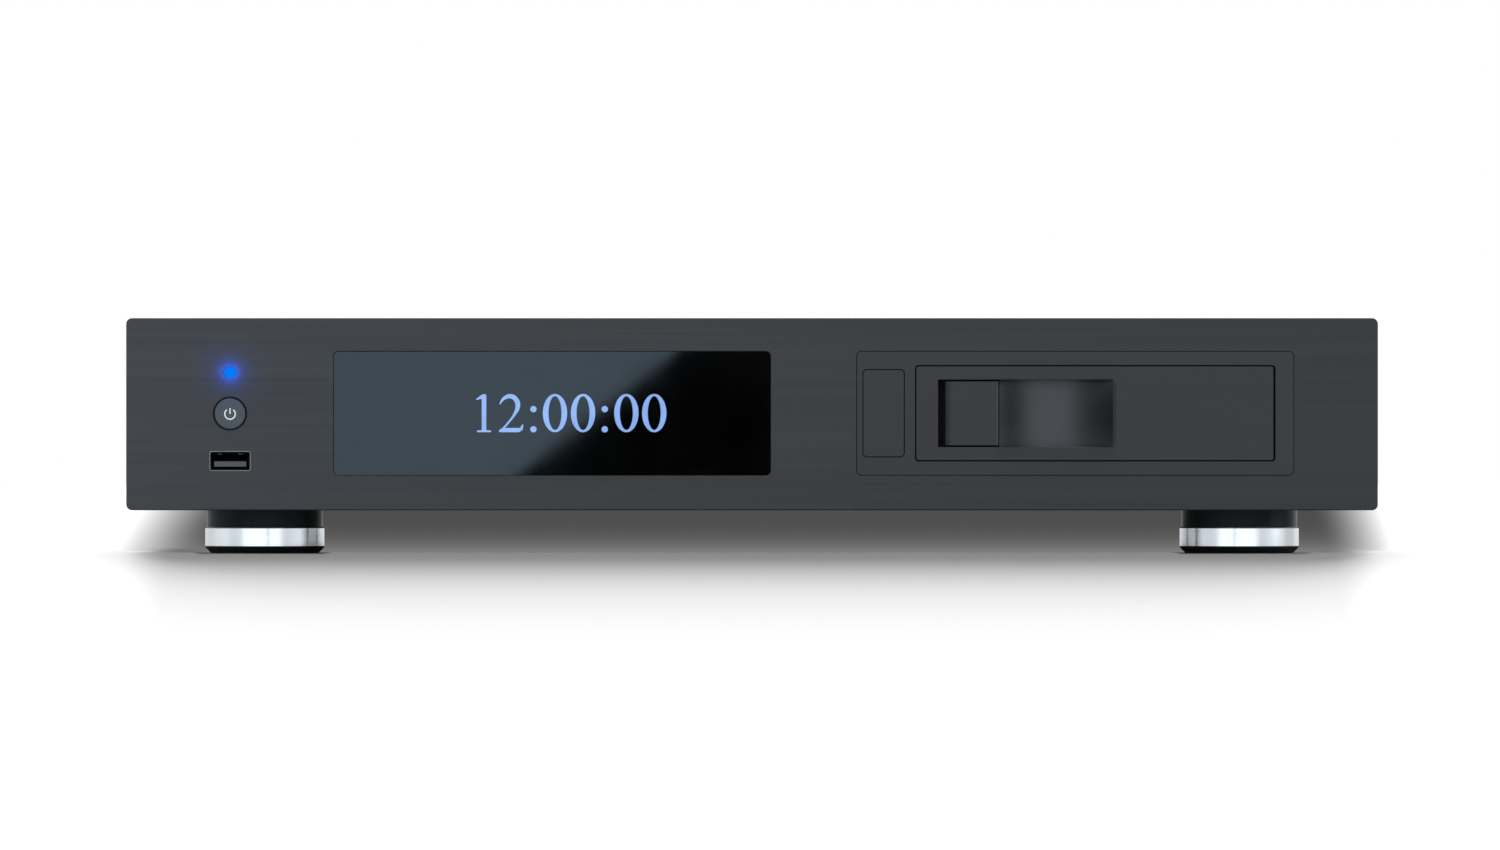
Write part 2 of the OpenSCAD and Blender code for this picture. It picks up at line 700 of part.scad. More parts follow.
// A push switch: a square body whose bore takes the stem of its button
module push_switch(back) {
    y = [back - switch_t, back];
    difference() {
        block([-switch_w / 2, switch_w / 2], y, [-switch_w / 2, switch_w / 2]);
        y_rod(stem_r + run_gap, [y[0] - eps, back - stem_bore_wall]);
    }
}

module push_switches() {
    color([0.1, 0.1, 0.1]) {
        placed() translate([control_x, 0, button_z]) push_switch(board_y);
        in_rack() translate([-rack_button_in, 0, 0]) push_switch(rack_board_y);
    }
}

module front_board() {
    color("darkgreen") placed() difference() {
        block([front_board_x, front_board_x + front_board_w], [board_y, board_y + board_t],
              [front_board_z0, front_board_z1]);
        at_xz(front_posts) y_rod(screw_r + screw_gap, [board_y - eps, board_y + board_t + eps]);
    }
}

// A USB socket's steel shell, open at one end, between two depths
module usb_shell(y) {
    difference() {
        block([-usb_w / 2, usb_w / 2], y, [-usb_h / 2, usb_h / 2]);
        block([usb_wall - usb_w / 2, usb_w / 2 - usb_wall], y + [-eps, -usb_wall],
              [usb_wall - usb_h / 2, usb_h / 2 - usb_wall]);
    }
}

// A USB socket's tongue with its back block, between two depths
module usb_tongue(y) {
    block([-5.5, 5.5], [y[0] + 0.5, y[1] - usb_wall - 0.05], [-1.9, -0.1]);
    block([usb_wall + 0.1 - usb_w / 2, usb_w / 2 - usb_wall - 0.1], [y[1] - 5, y[1] - usb_wall - 0.05],
          [usb_wall + 0.1 - usb_h / 2, usb_h / 2 - usb_wall - 0.1]);
}

module usb_front_shell() {
    color("silver") placed() translate([control_x, 0, usb_z]) usb_shell([usb_proud_back, board_y]);
}

module usb_front_tongue() {
    color([0.3, 0.3, 0.3]) placed() translate([control_x, 0, usb_z]) usb_tongue([usb_proud_back, board_y]);
}

// ---- Rack ----

module rack_bezel() {
    button_w = rack_button_w + 2 * rack_button_gap;
    button_h = rack_button_h + 2 * rack_button_gap;
    collar_w = 2 * cage_in_x - 0.2;
    collar_h = 2 * cage_in_z - 0.2;
    color([0.23, 0.24, 0.25]) in_rack() difference() {
        union() {
            slab(bezel_w, bezel_h, panel_corner - fit_gap, [0, bezel_d]);
            difference() {
                block([-collar_w / 2, collar_w / 2], [bezel_d - 0.5, bezel_d + collar_d],
                      [-collar_h / 2, collar_h / 2]);
                block([collar_t - collar_w / 2, collar_w / 2 - collar_t], [bezel_d, bezel_d + collar_d + eps],
                      [collar_t - collar_h / 2, collar_h / 2 - collar_t]);
            }
            for (s = [-1, 1]) translate([-rack_button_in, 0, s * (rack_board_h / 2 - 3)])
                y_rod(2.4, [bezel_d - 1, rack_board_y]);
        }
        translate([door_off, 0, 0])
            block(keeper_x + [-3.5, 0.5], [bezel_d, bezel_d + collar_d + eps], [0, cage_in_z]);
        translate([door_off, 0, 0])
            slab(door_w + 2 * door_gap, door_h + 2 * door_gap, door_corner + door_gap / 2, [-eps, bezel_d + eps]);
        translate([-rack_button_in, 0, 0]) {
            slab(button_w, button_h, panel_corner - 0.3, [-eps, rack_button_front + eps]);
            slab(button_w + 1.6, button_h - 4, 0.5, [rack_button_front, bezel_d + eps]);
        }
    }
}

module rack_button() {
    rim_w = rack_button_w + 2 * rack_button_gap + 1;
    color([0.24, 0.25, 0.26]) in_rack() translate([-rack_button_in, 0, 0]) {
        slab(rack_button_w, rack_button_h, panel_corner - 0.6, [0, rack_button_front - button_travel - 0.2]);
        slab(rack_button_w, rack_button_h - 5, 0.5, [0, rack_button_front + button_rim]);
        slab(rim_w, rack_button_h - 5, 0.5, [rack_button_front + 0.05, rack_button_front + button_rim]);
        y_rod(stem_r, [rack_button_front, rack_board_y - switch_t + 3]);
    }
}

module rack_board() {
    color("darkgreen") in_rack() translate([-rack_button_in, 0, 0])
        block([-5, 5], [rack_board_y, rack_board_y + board_t], [-rack_board_h / 2, rack_board_h / 2]);
}

module rack_cage() {
    y = [bezel_d, cage_y1];
    color("silver") in_rack() difference() {
        block([-cage_w / 2, cage_w / 2], y, [-cage_h / 2, cage_h / 2]);
        block([-cage_in_x, cage_in_x], y + [-eps, eps], [-cage_in_z, cage_in_z]);
        for (s = [-1, 1], k = [0 : 2])
            translate([0, bezel_d + 38 + k * 45, 0])
                block([s * cage_w / 2 - 3, s * cage_w / 2 + 3], [-15, 15], [10, 15]);
        at_xy(rack_posts_in)
            z_rod(screw_r + screw_gap, [-cage_h / 2 - eps, eps - cage_in_z]);
    }
}

module rack_guides() {
    groove_z = [-runner_h / 2 - slide_gap, runner_h / 2 + slide_gap];
    right = cage_in_x - door_off;
    color([0.15, 0.15, 0.15]) in_door() {
        difference() {
            block([-groove_x - guide_wall, -guide_in], guide_y, [-cage_in_z, guide_h / 2]);
            block([-groove_x, -guide_in + eps], guide_y + [-eps, eps], groove_z);
        }
        difference() {
            block([guide_in, right], guide_y, [-guide_h / 2, guide_h / 2]);
            block([guide_in - eps, groove_x], guide_y + [-eps, eps], groove_z);
        }
    }
}

module rack_posts() {
    color("silver") placed() at_xy(post_places) z_tube(rack_post_r, screw_r, [floor_z, cage_z0]);
}

module backplane_board() {
    color("darkgreen") in_door()
        block([-door_off - cage_in_x + 8, cage_in_x - door_off - 4], [backplane_y, backplane_y + board_t],
              [-cage_in_z, cage_in_z]);
}

module drive_connector() {
    z = tray_z0 + tray_t + 1;
    x = [-24, 18];
    height = 7;
    wall = 2;
    color([0.08, 0.08, 0.08]) in_door() difference() {
        block(x, [backplane_y - connector_d, backplane_y], [z, z + height]);
        block(x + [wall, -wall], [backplane_y - connector_d - eps, backplane_y - wall], [z + wall, z + height - wall]);
    }
}

// ---- Door, latch and tray ----

module door_outline() {
    edge = door_w / 2;
    polygon(concat(
        [[-edge, door_t], [-edge, 0]],
        [for (i = [0 : 6]) let (a = -90 + 15 * i)
            [edge - door_round + door_round * cos(a), door_round + door_round * sin(a)]],
        [[edge, door_t]]));
}

module tray_door() {
    color([0.24, 0.25, 0.26]) in_door() difference() {
        union() {
            intersection() {
                slab(door_w, door_h, door_corner, [-eps, door_t + eps]);
                translate([0, 0, -door_h]) linear_extrude(2 * door_h) door_outline();
            }
            block(scoop_box, [door_t - 0.5, scoop_depth + grip_wall], [-scoop_box_h, scoop_box_h]);
            block(lug_x, [door_t - 0.5, bar_y[1]], [-tab_z, -bar_z - 0.5]);
        }
        block([grip_x0, latch_x1], [-eps, latch_floor], [-grip_h / 2, grip_h / 2]);
        intersection() {
            block([latch_x1 - 0.01, grip_x1 + eps], [-eps, scoop_depth + eps], [-grip_h / 2, grip_h / 2]);
            translate([scoop_x, scoop_y, -grip_h]) cylinder(r = scoop_r, h = 2 * grip_h, $fn = 96);
        }
        block(neck_x + [-latch_travel - slide_gap, slide_gap], [0, door_t + eps],
              [-neck_z - slide_gap, neck_z + slide_gap]);
        for (s = [-1, 1])
            translate([0, 0, s * (tray_h / 2 - ear_h / 2)])
                block([hinge_x - ear_r - 0.15, door_w], [notch_front, door_t + eps],
                      [-ear_h / 2 - slide_gap - (s > 0 ? 0 : 3), ear_h / 2 + slide_gap + (s > 0 ? 3 : 0)]);
        translate([hinge_x, hinge_back, 0]) z_rod(pin_r + run_gap, [-door_h, door_h]);
    }
}

module door_latch() {
    bevel = 0.6;
    color([0.2, 0.21, 0.22]) in_door() {
        translate([0, 0, -latch_h / 2]) linear_extrude(latch_h) polygon([
            [latch_x0, latch_front], [latch_x1 - bevel, latch_front], [latch_x1, latch_front + bevel],
            [latch_x1, latch_front + latch_t], [latch_x0, latch_front + latch_t]]);
        block(neck_x, [latch_front + latch_t - 0.5, bar_y[0] + 0.5], [-neck_z, neck_z]);
        block(bar_x, bar_y, [-bar_z, bar_z]);
        block(tab_x, bar_y, [-tab_z, 0.5 - bar_z]);
        translate([0, 0, -hook_z]) linear_extrude(2 * hook_z) polygon([
            [hook_x[0], bar_y[1] - 0.5], [hook_x[1], bar_y[1] - 0.5], [hook_x[1], hook_y - 1.8],
            [hook_x[1] + barb, hook_y - 1.8], [hook_x[1] + barb, hook_y - 1.2], [hook_x[1] - 0.5, hook_y],
            [hook_x[0], hook_y]]);
    }
}

// A flat spring folded to and fro between the door's lug and the latch's tab
module latch_spring() {
    folds = 4;
    wire = 0.35;
    pitch = (tab_x[0] - lug_x[1]) / folds;
    low = 0.6 - tab_z;
    high = -bar_z - 0.9;
    color("silver") in_door() {
        for (i = [0 : folds])
            block([lug_x[1] + i * pitch - (i == 0 ? 0 : i == folds ? wire : wire / 2),
                   lug_x[1] + i * pitch + (i == 0 ? wire : i == folds ? 0 : wire / 2)],
                  bar_y + [0.1, -0.1], [low, high]);
        for (i = [0 : folds - 1])
            block([lug_x[1] + i * pitch, lug_x[1] + (i + 1) * pitch], bar_y + [0.1, -0.1],
                  i % 2 == 0 ? [high - wire, high] : [low, low + wire]);
    }
}

// A spring-steel strip that hangs from the cage's roof and catches the latch's barb
module latch_keeper() {
    color([0.6, 0.62, 0.65]) in_door() {
        block(keeper_x, [keeper_y, keeper_y + keeper_t], [-keeper_drop, cage_in_z]);
        block(keeper_x + [-3, 0], [keeper_y, keeper_y + keeper_foot], [cage_in_z - keeper_t, cage_in_z]);
    }
}

module drive_tray() {
    half = tray_w / 2;
    front_w = door_w - 1.2;
    color([0.16, 0.17, 0.18]) in_door() difference() {
        union() {
            slab(front_w, tray_h, 0.8, [tray_y, tray_y + tray_t]);
            block([-half, half], [tray_y, tray_y1], [tray_z0, tray_z0 + tray_t]);
            for (s = [-1, 1]) {
                translate([s * (half - tray_t / 2), 0, 0])
                    block([-tray_t / 2, tray_t / 2], [tray_y, tray_y1], [tray_z0, tray_z0 + tray_side_h]);
                translate([s * (half + runner_w / 2 - 0.25), 0, 0])
                    block([-runner_w / 2 - 0.25, runner_w / 2 + 0.25], [runner_y0, tray_y1],
                          [-runner_h / 2, runner_h / 2]);
                translate([hinge_x, 0, s * (tray_h / 2 - ear_h / 2)]) {
                    translate([0, hinge_back, -ear_h / 2]) cylinder(r = ear_r, h = ear_h);
                    block([-ear_r, ear_r], [hinge_back, tray_y + 0.5], [-ear_h / 2, ear_h / 2]);
                }
            }
        }
        block(scoop_box + [-1, 1], [tray_y - eps, tray_y + tray_t + eps], [-scoop_box_h - 0.8, scoop_box_h + 0.8]);
        block([hook_x[0] - latch_travel - 1.2, hook_x[1] + barb + 0.5], [tray_y - eps, tray_y + tray_t + eps],
              [-hook_z - 0.5, hook_z + 0.5]);
        translate([hinge_x, hinge_back, 0]) z_rod(pin_r + 0.02, [-tray_h, tray_h]);
        for (x = [-1, 1], y = [0, 1])
            translate([x * drive_holes_x / 2, drive_y1 - drive_holes_in - y * drive_holes_y, 0])
                z_rod(drive_hole_r, [tray_z0 - eps, tray_z0 + tray_t + eps]);
        for (i = [-2 : 2])
            block([i * 16 - 4, i * 16 + 4], [drive_y0 + 12, drive_y1 - 20], [tray_z0 - eps, tray_z0 + tray_t + eps]);
    }
}

module hinge_pin() {
    color("silver") in_door() translate([hinge_x, hinge_back, 0]) z_rod(pin_r, [-tray_h / 2, tray_h / 2]);
}

// ---- Electronics ----

module board(x, y, holes) {
    difference() {
        block(x, y, [main_z, main_z + board_t]);
        at_xy(holes) z_rod(screw_r + screw_gap, [main_z - eps, main_z + board_t + eps]);
    }
}

module main_board() {
    color("darkgreen") placed() board(main_x, main_y, main_holes);
}

module heat_sink() {
    fins = 11;
    size = 0.35 * main_w;
    fin_pitch = size / fins;
    base = [2, 6];
    color([0.7, 0.7, 0.72]) placed() translate([(main_x[0] + main_x[1]) / 2, (main_y[0] + main_y[1]) / 2, rear_z]) {
        block([-size / 2, size / 2], [-size / 2, size / 2], base);
        block([-size / 4, size / 4], [-size / 4, size / 4], [0, base[0] + 0.5]);
        for (i = [0 : fins - 1])
            translate([-size / 2 + (i + 0.5) * fin_pitch, 0, 0])
                block([-fin_pitch / 5, fin_pitch / 5], [-size / 2, size / 2], [base[1] - 0.5, sink_h]);
    }
}

module power_board() {
    color("darkgreen") placed() board(power_x, power_y, power_holes);
}

module transformer() {
    round = transformer_r / 4;
    cup_r = transformer_r / 3;
    cup_d = 8;
    color([0.75, 0.6, 0.2]) placed() translate([transformer_at[0], transformer_at[1], floor_z])
        rotate_extrude() polygon(concat(
            [[screw_r, 0], [transformer_r - round, 0]],
            [for (i = [0 : 6]) let (a = -90 + 15 * i)
                [transformer_r - round + round * cos(a), round + round * sin(a)]],
            [for (i = [0 : 6]) let (a = 15 * i)
                [transformer_r - round + round * cos(a), transformer_h - round + round * sin(a)]],
            [[cup_r, transformer_h], [cup_r - 2, transformer_h - cup_d], [screw_r, transformer_h - cup_d]]));
}

module smoothing_capacitors() {
    color([0.15, 0.2, 0.45]) placed() for (i = [0 : 2])
        translate([power_x[0] + 24 + i * (2 * capacitor_r + 4), (power_y[0] + power_y[1]) / 2, rear_z])
            z_rod(capacitor_r, [0, capacitor_h]);
}

module board_standoffs() {
    color([0.8, 0.7, 0.4]) placed() at_xy(concat(main_holes, power_holes))
        z_tube(standoff_r, screw_r, [floor_z, main_z]);
}

module board_screws() {
    color("silver") placed() {
        at_xy(concat(main_holes, power_holes)) translate([0, 0, rear_z]) rotate([180, 0, 0])
            screw(screw_r - 0.05, board_t + 2.5, head_r, head_h);
        at_xz(front_posts) translate([0, board_y + board_t, 0]) rotate([90, 0, 0])
            screw(screw_r - 0.05, board_t + 4, head_r, head_h);
    }
}

module mains_inlet() {
    back = case_y1;
    color([0.06, 0.06, 0.06]) placed() translate([inlet_x, 0, inlet_z]) {
        difference() {
            union() {
                slab(inlet_w + 6, inlet_h + 4, 2, [back, back + inlet_flange]);
                slab(inlet_cut_w + 2.4, inlet_cut_h + 2.4, 1.8, [back - inlet_d, back + 0.5]);
            }
            slab(inlet_cut_w, inlet_cut_h, 1, [back + inlet_flange - 17, back + inlet_flange + eps]);
        }
        for (p = [[-7, -2], [0, 2], [7, -2]])
            translate([p[0], 0, p[1]]) block([-1, 1], [back - 16, back - 3], [-2, 2]);
    }
}

module mains_switch() {
    back = case_y1;
    color([0.06, 0.06, 0.06]) placed() translate([switch_x, 0, inlet_z]) difference() {
        union() {
            slab(switch_cut_w + 2.4, switch_cut_h + 2.4, 1, [back, back + 1.6]);
            slab(switch_cut_w - 0.4, switch_cut_h - 0.4, 0.4, [back - 18, back + 0.5]);
        }
        block([-rocker_w / 2 - slide_gap, rocker_w / 2 + slide_gap], [back - 12, back + 3], [-5.4, 5.4]);
        translate([-rocker_w / 2 - 1.2, back - 3, 0]) rotate([0, 90, 0])
            cylinder(r = 1 + run_gap, h = rocker_w + 2.4);
    }
}

// The rocker turns on two studs and rests with its upper half pressed in
module mains_rocker() {
    color([0.09, 0.09, 0.09]) placed() translate([switch_x, case_y1 - 3, inlet_z]) {
        rotate([rocker_tilt, 0, 0]) translate([-rocker_w / 2, 0, 0]) rotate([90, 0, 90]) linear_extrude(rocker_w)
            polygon([[-2, -2], [2.2, -4.6], [4.2, -4.6], [3.4, 0], [4.2, 4.6], [2.2, 4.6], [-2, 2]]);
        rotate([0, 90, 0]) cylinder(r = 1, h = rocker_w + 2, center = true);
    }
}

// A rear socket: a block with a cavity, its mouth just past the rear panel
module rear_socket(w, h, d, wall) {
    back = case_y1 + 0.5;
    difference() {
        block([-w / 2, w / 2], [back - d, back], [0, h]);
        block([wall - w / 2, w / 2 - wall], [back - d + 2, back + eps], [wall, h - wall]);
    }
}

module video_sockets() {
    color("silver") placed() for (x = video_xs) translate([x, 0, rear_z]) {
        rear_socket(video_w, video_h, video_d, 0.5);
        block([-5.5, 5.5], [case_y1 - video_d + 2, case_y1 - 0.6], [2.4, 3.4]);
    }
}

module ethernet_socket() {
    color("silver") placed() translate([lan_x, 0, rear_z]) rear_socket(lan_w, lan_h, lan_d, 2);
}

module usb_rear_sockets() {
    color("silver") placed() for (z = usb_stack)
        translate([usb_rear_x, case_y1 + 0.5, rear_z + z + usb_h / 2]) rotate([0, 0, 180]) {
            usb_shell([0, 16]);
            block([-5.5, 5.5], [0.8, 16 - usb_wall / 2], [-1.9, -0.1]);
        }
    color("silver") placed() translate([usb_rear_x, 0, rear_z])
            block([-usb_w / 2, usb_w / 2], [case_y1 - 15.5, case_y1 - 3], [0, usb_stack[1]]);
}

module phono_sockets() {
    color([0.85, 0.7, 0.3]) placed() for (x = phono_xs) translate([x, 0, rear_z + phono_up]) difference() {
        union() {
            y_rod(phono_r, [case_y1 - phono_back + 4, case_y1 + phono_len]);
            block([-phono_body, phono_body], [case_y1 - phono_back, case_y1 - sheet - 0.3], [-phono_up, phono_body]);
        }
        y_rod(1.6, [case_y1 - 6, case_y1 + phono_len + eps]);
    }
}

// ---- Wiring inside the case ----

module ribbon_cable() {
    x = [main_x[0] + 0.25 * main_w, main_x[0] + 0.41 * main_w];
    t = 0.9;
    top = mid_z - 6;
    turn = board_y + board_t + 9;
    color([0.7, 0.7, 0.72]) placed() {
        block(x, [board_y + board_t, turn], [top, top + t]);
        block(x, [turn - t, turn], [rear_z, top + t]);
        block(x, [turn - t, main_y[0] + 8], [rear_z, rear_z + t]);
    }
}

module data_cable() {
    t = 2;
    z = [panel_z - 4, panel_z + 4];
    turn = cage_y1 + 8;
    x0 = main_x[1] - 16;
    color([0.5, 0.08, 0.08]) placed() {
        block([rack_x, rack_x + t], [backplane_y + board_t, turn], z);
        block([x0, rack_x + t], [turn - t, turn], z);
        block([x0, x0 + t], [turn - t, turn], [rear_z, z[1]]);
    }
}

module mains_wires() {
    color([0.35, 0.2, 0.1]) placed() for (i = [-1 : 1])
        translate([inlet_x - 4 + i * 6, 0, inlet_z]) {
            y_rod(1.2, [power_y[1] - wire_in, case_y1 - inlet_d]);
            translate([0, power_y[1] - wire_in, 0]) z_rod(1.2, [rear_z - inlet_z, 1.2]);
        }
}

// ---- Fasteners ----

module case_screws() {
    color([0.1, 0.1, 0.1]) placed() {
        at_xy(pan_holes) translate([0, 0, case_z0])
            screw(screw_r - 0.05, sheet + 2.8, head_r, head_h);
        for (s = [-1, 1], p = concat(side_screws, skirt_screws))
            translate([s * case_w / 2, p[0], p[1]]) rotate([0, -90 * s, 0])
                screw(screw_r - 0.05, 2 * sheet + 2, head_r, head_h);
    }
}

module faceplate_screws() {
    color("silver") placed() at_xz(face_screws) translate([0, frame_y, 0]) rotate([90, 0, 0])
        screw(screw_r - 0.05, sheet + 4, head_r, head_h);
}

faceplate();
front_frame();
bottom_pan();
top_cover();
rear_panel();
for (i = [1 : 4]) {
    foot_neck(i);
    foot_ring(i);
    foot_pad(i);
}
foot_screws();
display_window();
display_tube();
led_lens();
status_led();
power_button();
push_switches();
front_board();
usb_front_shell();
usb_front_tongue();
rack_bezel();
rack_button();
rack_board();
tray_door();
door_latch();
latch_spring();
latch_keeper();
drive_tray();
hinge_pin();
rack_cage();
rack_guides();
rack_posts();
backplane_board();
drive_connector();
main_board();
heat_sink();
power_board();
transformer();
smoothing_capacitors();
board_standoffs();
board_screws();
mains_inlet();
mains_switch();
mains_rocker();
video_sockets();
ethernet_socket();
usb_rear_sockets();
phono_sockets();
ribbon_cable();
data_cable();
mains_wires();
case_screws();
faceplate_screws();
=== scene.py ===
"""Looks of a full-width media player with a clock display and a hard drive tray.

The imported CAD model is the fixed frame. This script finishes its surfaces and adds what is printed,
lit or too fine for the CAD: clock digits, the button's symbol, the status light's dome, socket contacts.
"""

import math

import bmesh
import bpy
import numpy as np
from bpy.props import FloatProperty, FloatVectorProperty, IntProperty, PointerProperty
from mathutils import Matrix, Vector


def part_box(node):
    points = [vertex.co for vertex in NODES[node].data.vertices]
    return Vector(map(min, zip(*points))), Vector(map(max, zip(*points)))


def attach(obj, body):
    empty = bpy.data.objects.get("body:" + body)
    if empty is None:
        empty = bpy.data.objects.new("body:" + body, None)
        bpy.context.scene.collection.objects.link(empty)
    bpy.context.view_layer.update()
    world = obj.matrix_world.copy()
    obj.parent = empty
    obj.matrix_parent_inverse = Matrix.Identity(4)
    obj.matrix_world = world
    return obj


bl_info = {
    "name": "Media Player Looks",
    "version": (1, 0, 0),
    "blender": (4, 5, 0),
    "location": "View3D > Sidebar > Player",
    "description": "Finishes a media player with a clock display, a drive rack and round feet",
    "category": "Object",
}

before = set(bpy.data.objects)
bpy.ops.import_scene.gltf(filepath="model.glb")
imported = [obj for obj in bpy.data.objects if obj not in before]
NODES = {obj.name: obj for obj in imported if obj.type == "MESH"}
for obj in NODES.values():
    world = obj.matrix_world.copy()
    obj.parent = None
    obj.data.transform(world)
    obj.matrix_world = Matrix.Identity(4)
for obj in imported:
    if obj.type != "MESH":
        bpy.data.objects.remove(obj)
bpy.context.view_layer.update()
MM = 0.001


def middle(node):
    """The middle of a CAD node's box."""
    return sum(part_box(node), Vector()) / 2


FACE_LOW, FACE_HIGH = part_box("faceplate")
FACE_Y = FACE_LOW.y
WINDOW_LOW, WINDOW_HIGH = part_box("display_window")
WINDOW_MIDDLE = middle("display_window")
BUTTON_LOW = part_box("power_button")[0]
BUTTON_MIDDLE = middle("power_button")
LIGHT_LOW, LIGHT_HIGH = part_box("led_lens")
LIGHT_MIDDLE = middle("led_lens")
USB_MIDDLE = middle("usb_front_shell")
DOOR_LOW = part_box("tray_door")[0]
REAR_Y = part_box("rear_panel")[1].y
# The latch plate's right edge, where the finger scoop begins, and the scoop's right end, from the door's left
LATCH_RIGHT = DOOR_LOW.x + 28.1 * MM
SCOOP_RIGHT = DOOR_LOW.x + 67.65 * MM
FEET = (1, 2, 3, 4)


# ---------------------------------------------------------------- settings


def number_setting(name, text, value, **limits):
    """A number that the panel shows."""
    return FloatProperty(name=name, description=text, default=value, **limits)


def length_setting(name, text, value):
    """A length that the panel shows."""
    return FloatProperty(name=name, description=text, default=value, unit="LENGTH")


def colour_setting(name, text, value, **limits):
    """A colour that the panel shows."""
    return FloatVectorProperty(name=name, description=text, default=value, subtype="COLOR", **limits)


class StageSettings(bpy.types.PropertyGroup):
    camera_distance: length_setting("Camera distance", "From the faceplate to the camera", 6.0)
    view_width: length_setting("View width", "Width that the picture takes in at the faceplate", 0.51525)
    look_up: length_setting("Look up", "Height of the picture's middle above the floor", 0.0443)
    look_right: length_setting("Look right", "Sideways place of the picture's middle", -0.0007)
    world_strength: number_setting("World strength", "Plain light from all round", 0.6, min=0.0)
    key_power: number_setting("Key power", "Power of the lamp above the front", 8.0, unit="POWER")
    rim_power: number_setting("Rim power", "Power of the lamp at the right", 3.0, unit="POWER")
    floor_light: number_setting(
        "Floor light", "Strength of the soft light from behind that only the floor takes", 4.6)
    floor_colour: colour_setting("Floor colour", "Colour of the pale floor", (0.42, 0.42, 0.42))
    floor_shown: number_setting(
        "Floor shown", "How bright the floor's colour looks to the camera", 1.52, min=1.0)
    front_fall: number_setting(
        "Front fall", "Drop of the floor per metre in front of the player", 0.16, min=0.0)
    floor_ridge: length_setting(
        "Floor ridge", "Height of the low ridge in the floor under the faceplate", 0.00055)
    shade_back: length_setting(
        "Shade back", "From the faceplate's front back to the card that darkens the view under the case",
        0.068)
    shade_dark: colour_setting("Dark shade", "Shade close under the case", (0.076, 0.076, 0.076))
    shade_pale: colour_setting("Pale shade", "Shade close above the floor", (0.215, 0.215, 0.215))
    fade_left: length_setting("Left fade", "How far left of the middle the shade begins to fade", 0.1896)
    fade_right: length_setting("Right fade", "How far right of the middle the shade begins to fade", 0.199)
    lean_left: number_setting(
        "Left lean", "How much further the shade has faded at its top left corner", 0.3)
    lean_right: number_setting(
        "Right lean", "How much further the shade has faded at its top right corner", 0.19)
    fade_end: length_setting("Fade end", "Half-width at which the shade is gone", 0.2285)
    foot_height: length_setting(
        "Foot height", "Height up to which the floor's own shadow takes the place of the shade's sides",
        0.0018)
    foot_fade: number_setting(
        "Foot fade", "How much further the shade's sides have faded at its foot", 0.45)
    side_start: length_setting("Side start", "Half-width at which the floor begins to brighten", 0.198)
    side_end: length_setting("Side end", "Half-width at which the floor is brightest", 0.218)
    side_gain: number_setting(
        "Side gain", "How much brighter the floor beside the player looks to the camera", 1.32)


class CaseSettings(bpy.types.PropertyGroup):
    faceplate: colour_setting("Faceplate", "Dark anodised aluminium", (0.047, 0.0505, 0.0545))
    # Painted light and shade: the faceplate's colour is multiplied by a ramp between these two, lighter and
    # bluer at its left end and darker at its right end
    painted_light_left: colour_setting(
        "Left painted light", "Painted light at the faceplate's left end: its colour lighter and bluer", (1.13, 1.17, 1.2), soft_max=2.0)
    painted_shade_right: colour_setting(
        "Right painted shade", "Painted shade at the faceplate's right end: its colour darker",
        (0.88, 0.885, 0.89), soft_max=2.0)
    cover: colour_setting("Cover", "Black powder coat", (0.018, 0.018, 0.02))
    sheet: colour_setting("Sheet", "Zinc plated inner sheets", (0.56, 0.58, 0.6))
    ring: colour_setting("Foot ring", "Polished aluminium", (0.9, 0.955, 1.0))
    edge_radius: length_setting("Edge radius", "Softening of machined edges", 0.00025)


class DisplaySettings(bpy.types.PropertyGroup):
    digit_height: length_setting("Digit height", "Height of the clock digits", 0.01315)
    digit_colour: colour_setting("Digit colour", "Pale blue glow", (0.285, 0.462, 0.92))
    window_clear: number_setting(
        "Clearness", "Share of light that the smoked window lets through",
        0.15, min=0.1, max=0.9, subtype="FACTOR")
    first_digit: length_setting("First digit", "From the window's left edge to the first digit", 0.0508)
    slate: colour_setting(
        "Slate", "Colour of the studio card that the window mirrors", (1.18, 1.64, 2.05), soft_max=2.5)


class ControlSettings(bpy.types.PropertyGroup):
    light_colour: colour_setting("Light colour", "Blue of the status light", (0.0, 0.205, 1.0))
    halo_power: number_setting(
        "Halo power", "Light that the status light throws on the faceplate", 0.013, unit="POWER")
    symbol_radius: length_setting("Symbol radius", "Radius of the power symbol's ring", 0.0018)
    symbol_stroke: length_setting("Symbol stroke", "Width of the power symbol's stroke", 0.00045)
    button: colour_setting("Button", "Anodised button cap", (0.075, 0.093, 0.106))


class RackSettings(bpy.types.PropertyGroup):
    bezel: colour_setting("Bezel", "Satin grey of the rack's bezel", (0.045, 0.0485, 0.052))
    door: colour_setting("Door", "Satin grey of door and latch", (0.043, 0.0455, 0.049))
    tray: colour_setting("Tray", "Charcoal of the drive tray", (0.03, 0.032, 0.035))


class SocketSettings(bpy.types.PropertyGroup):
    video_width: length_setting("Video width", "Width of one digital video socket", 0.015)
    contacts: IntProperty(
        name="Contacts", description="Contacts in the network socket", default=8, min=4, max=12)
    collar_yellow: colour_setting("Yellow collar", "Collar of the picture socket", (0.75, 0.45, 0.02))
    collar_white: colour_setting("White collar", "Collar of the left sound socket", (0.7, 0.7, 0.68))
    collar_red: colour_setting("Red collar", "Collar of the right sound socket", (0.45, 0.01, 0.012))


# ---------------------------------------------------------------- node materials


def add_node(tree, kind, sockets=None, **settings):
    """Adds a shader node, sets its settings, and fills or links the named sockets."""
    made = tree.nodes.new("ShaderNode" + kind)
    for key, value in settings.items():
        setattr(made, key, value)
    for key, value in (sockets or {}).items():
        if isinstance(value, bpy.types.NodeSocket):
            tree.links.new(value, made.inputs[key])
        else:
            made.inputs[key].default_value = value
    return made


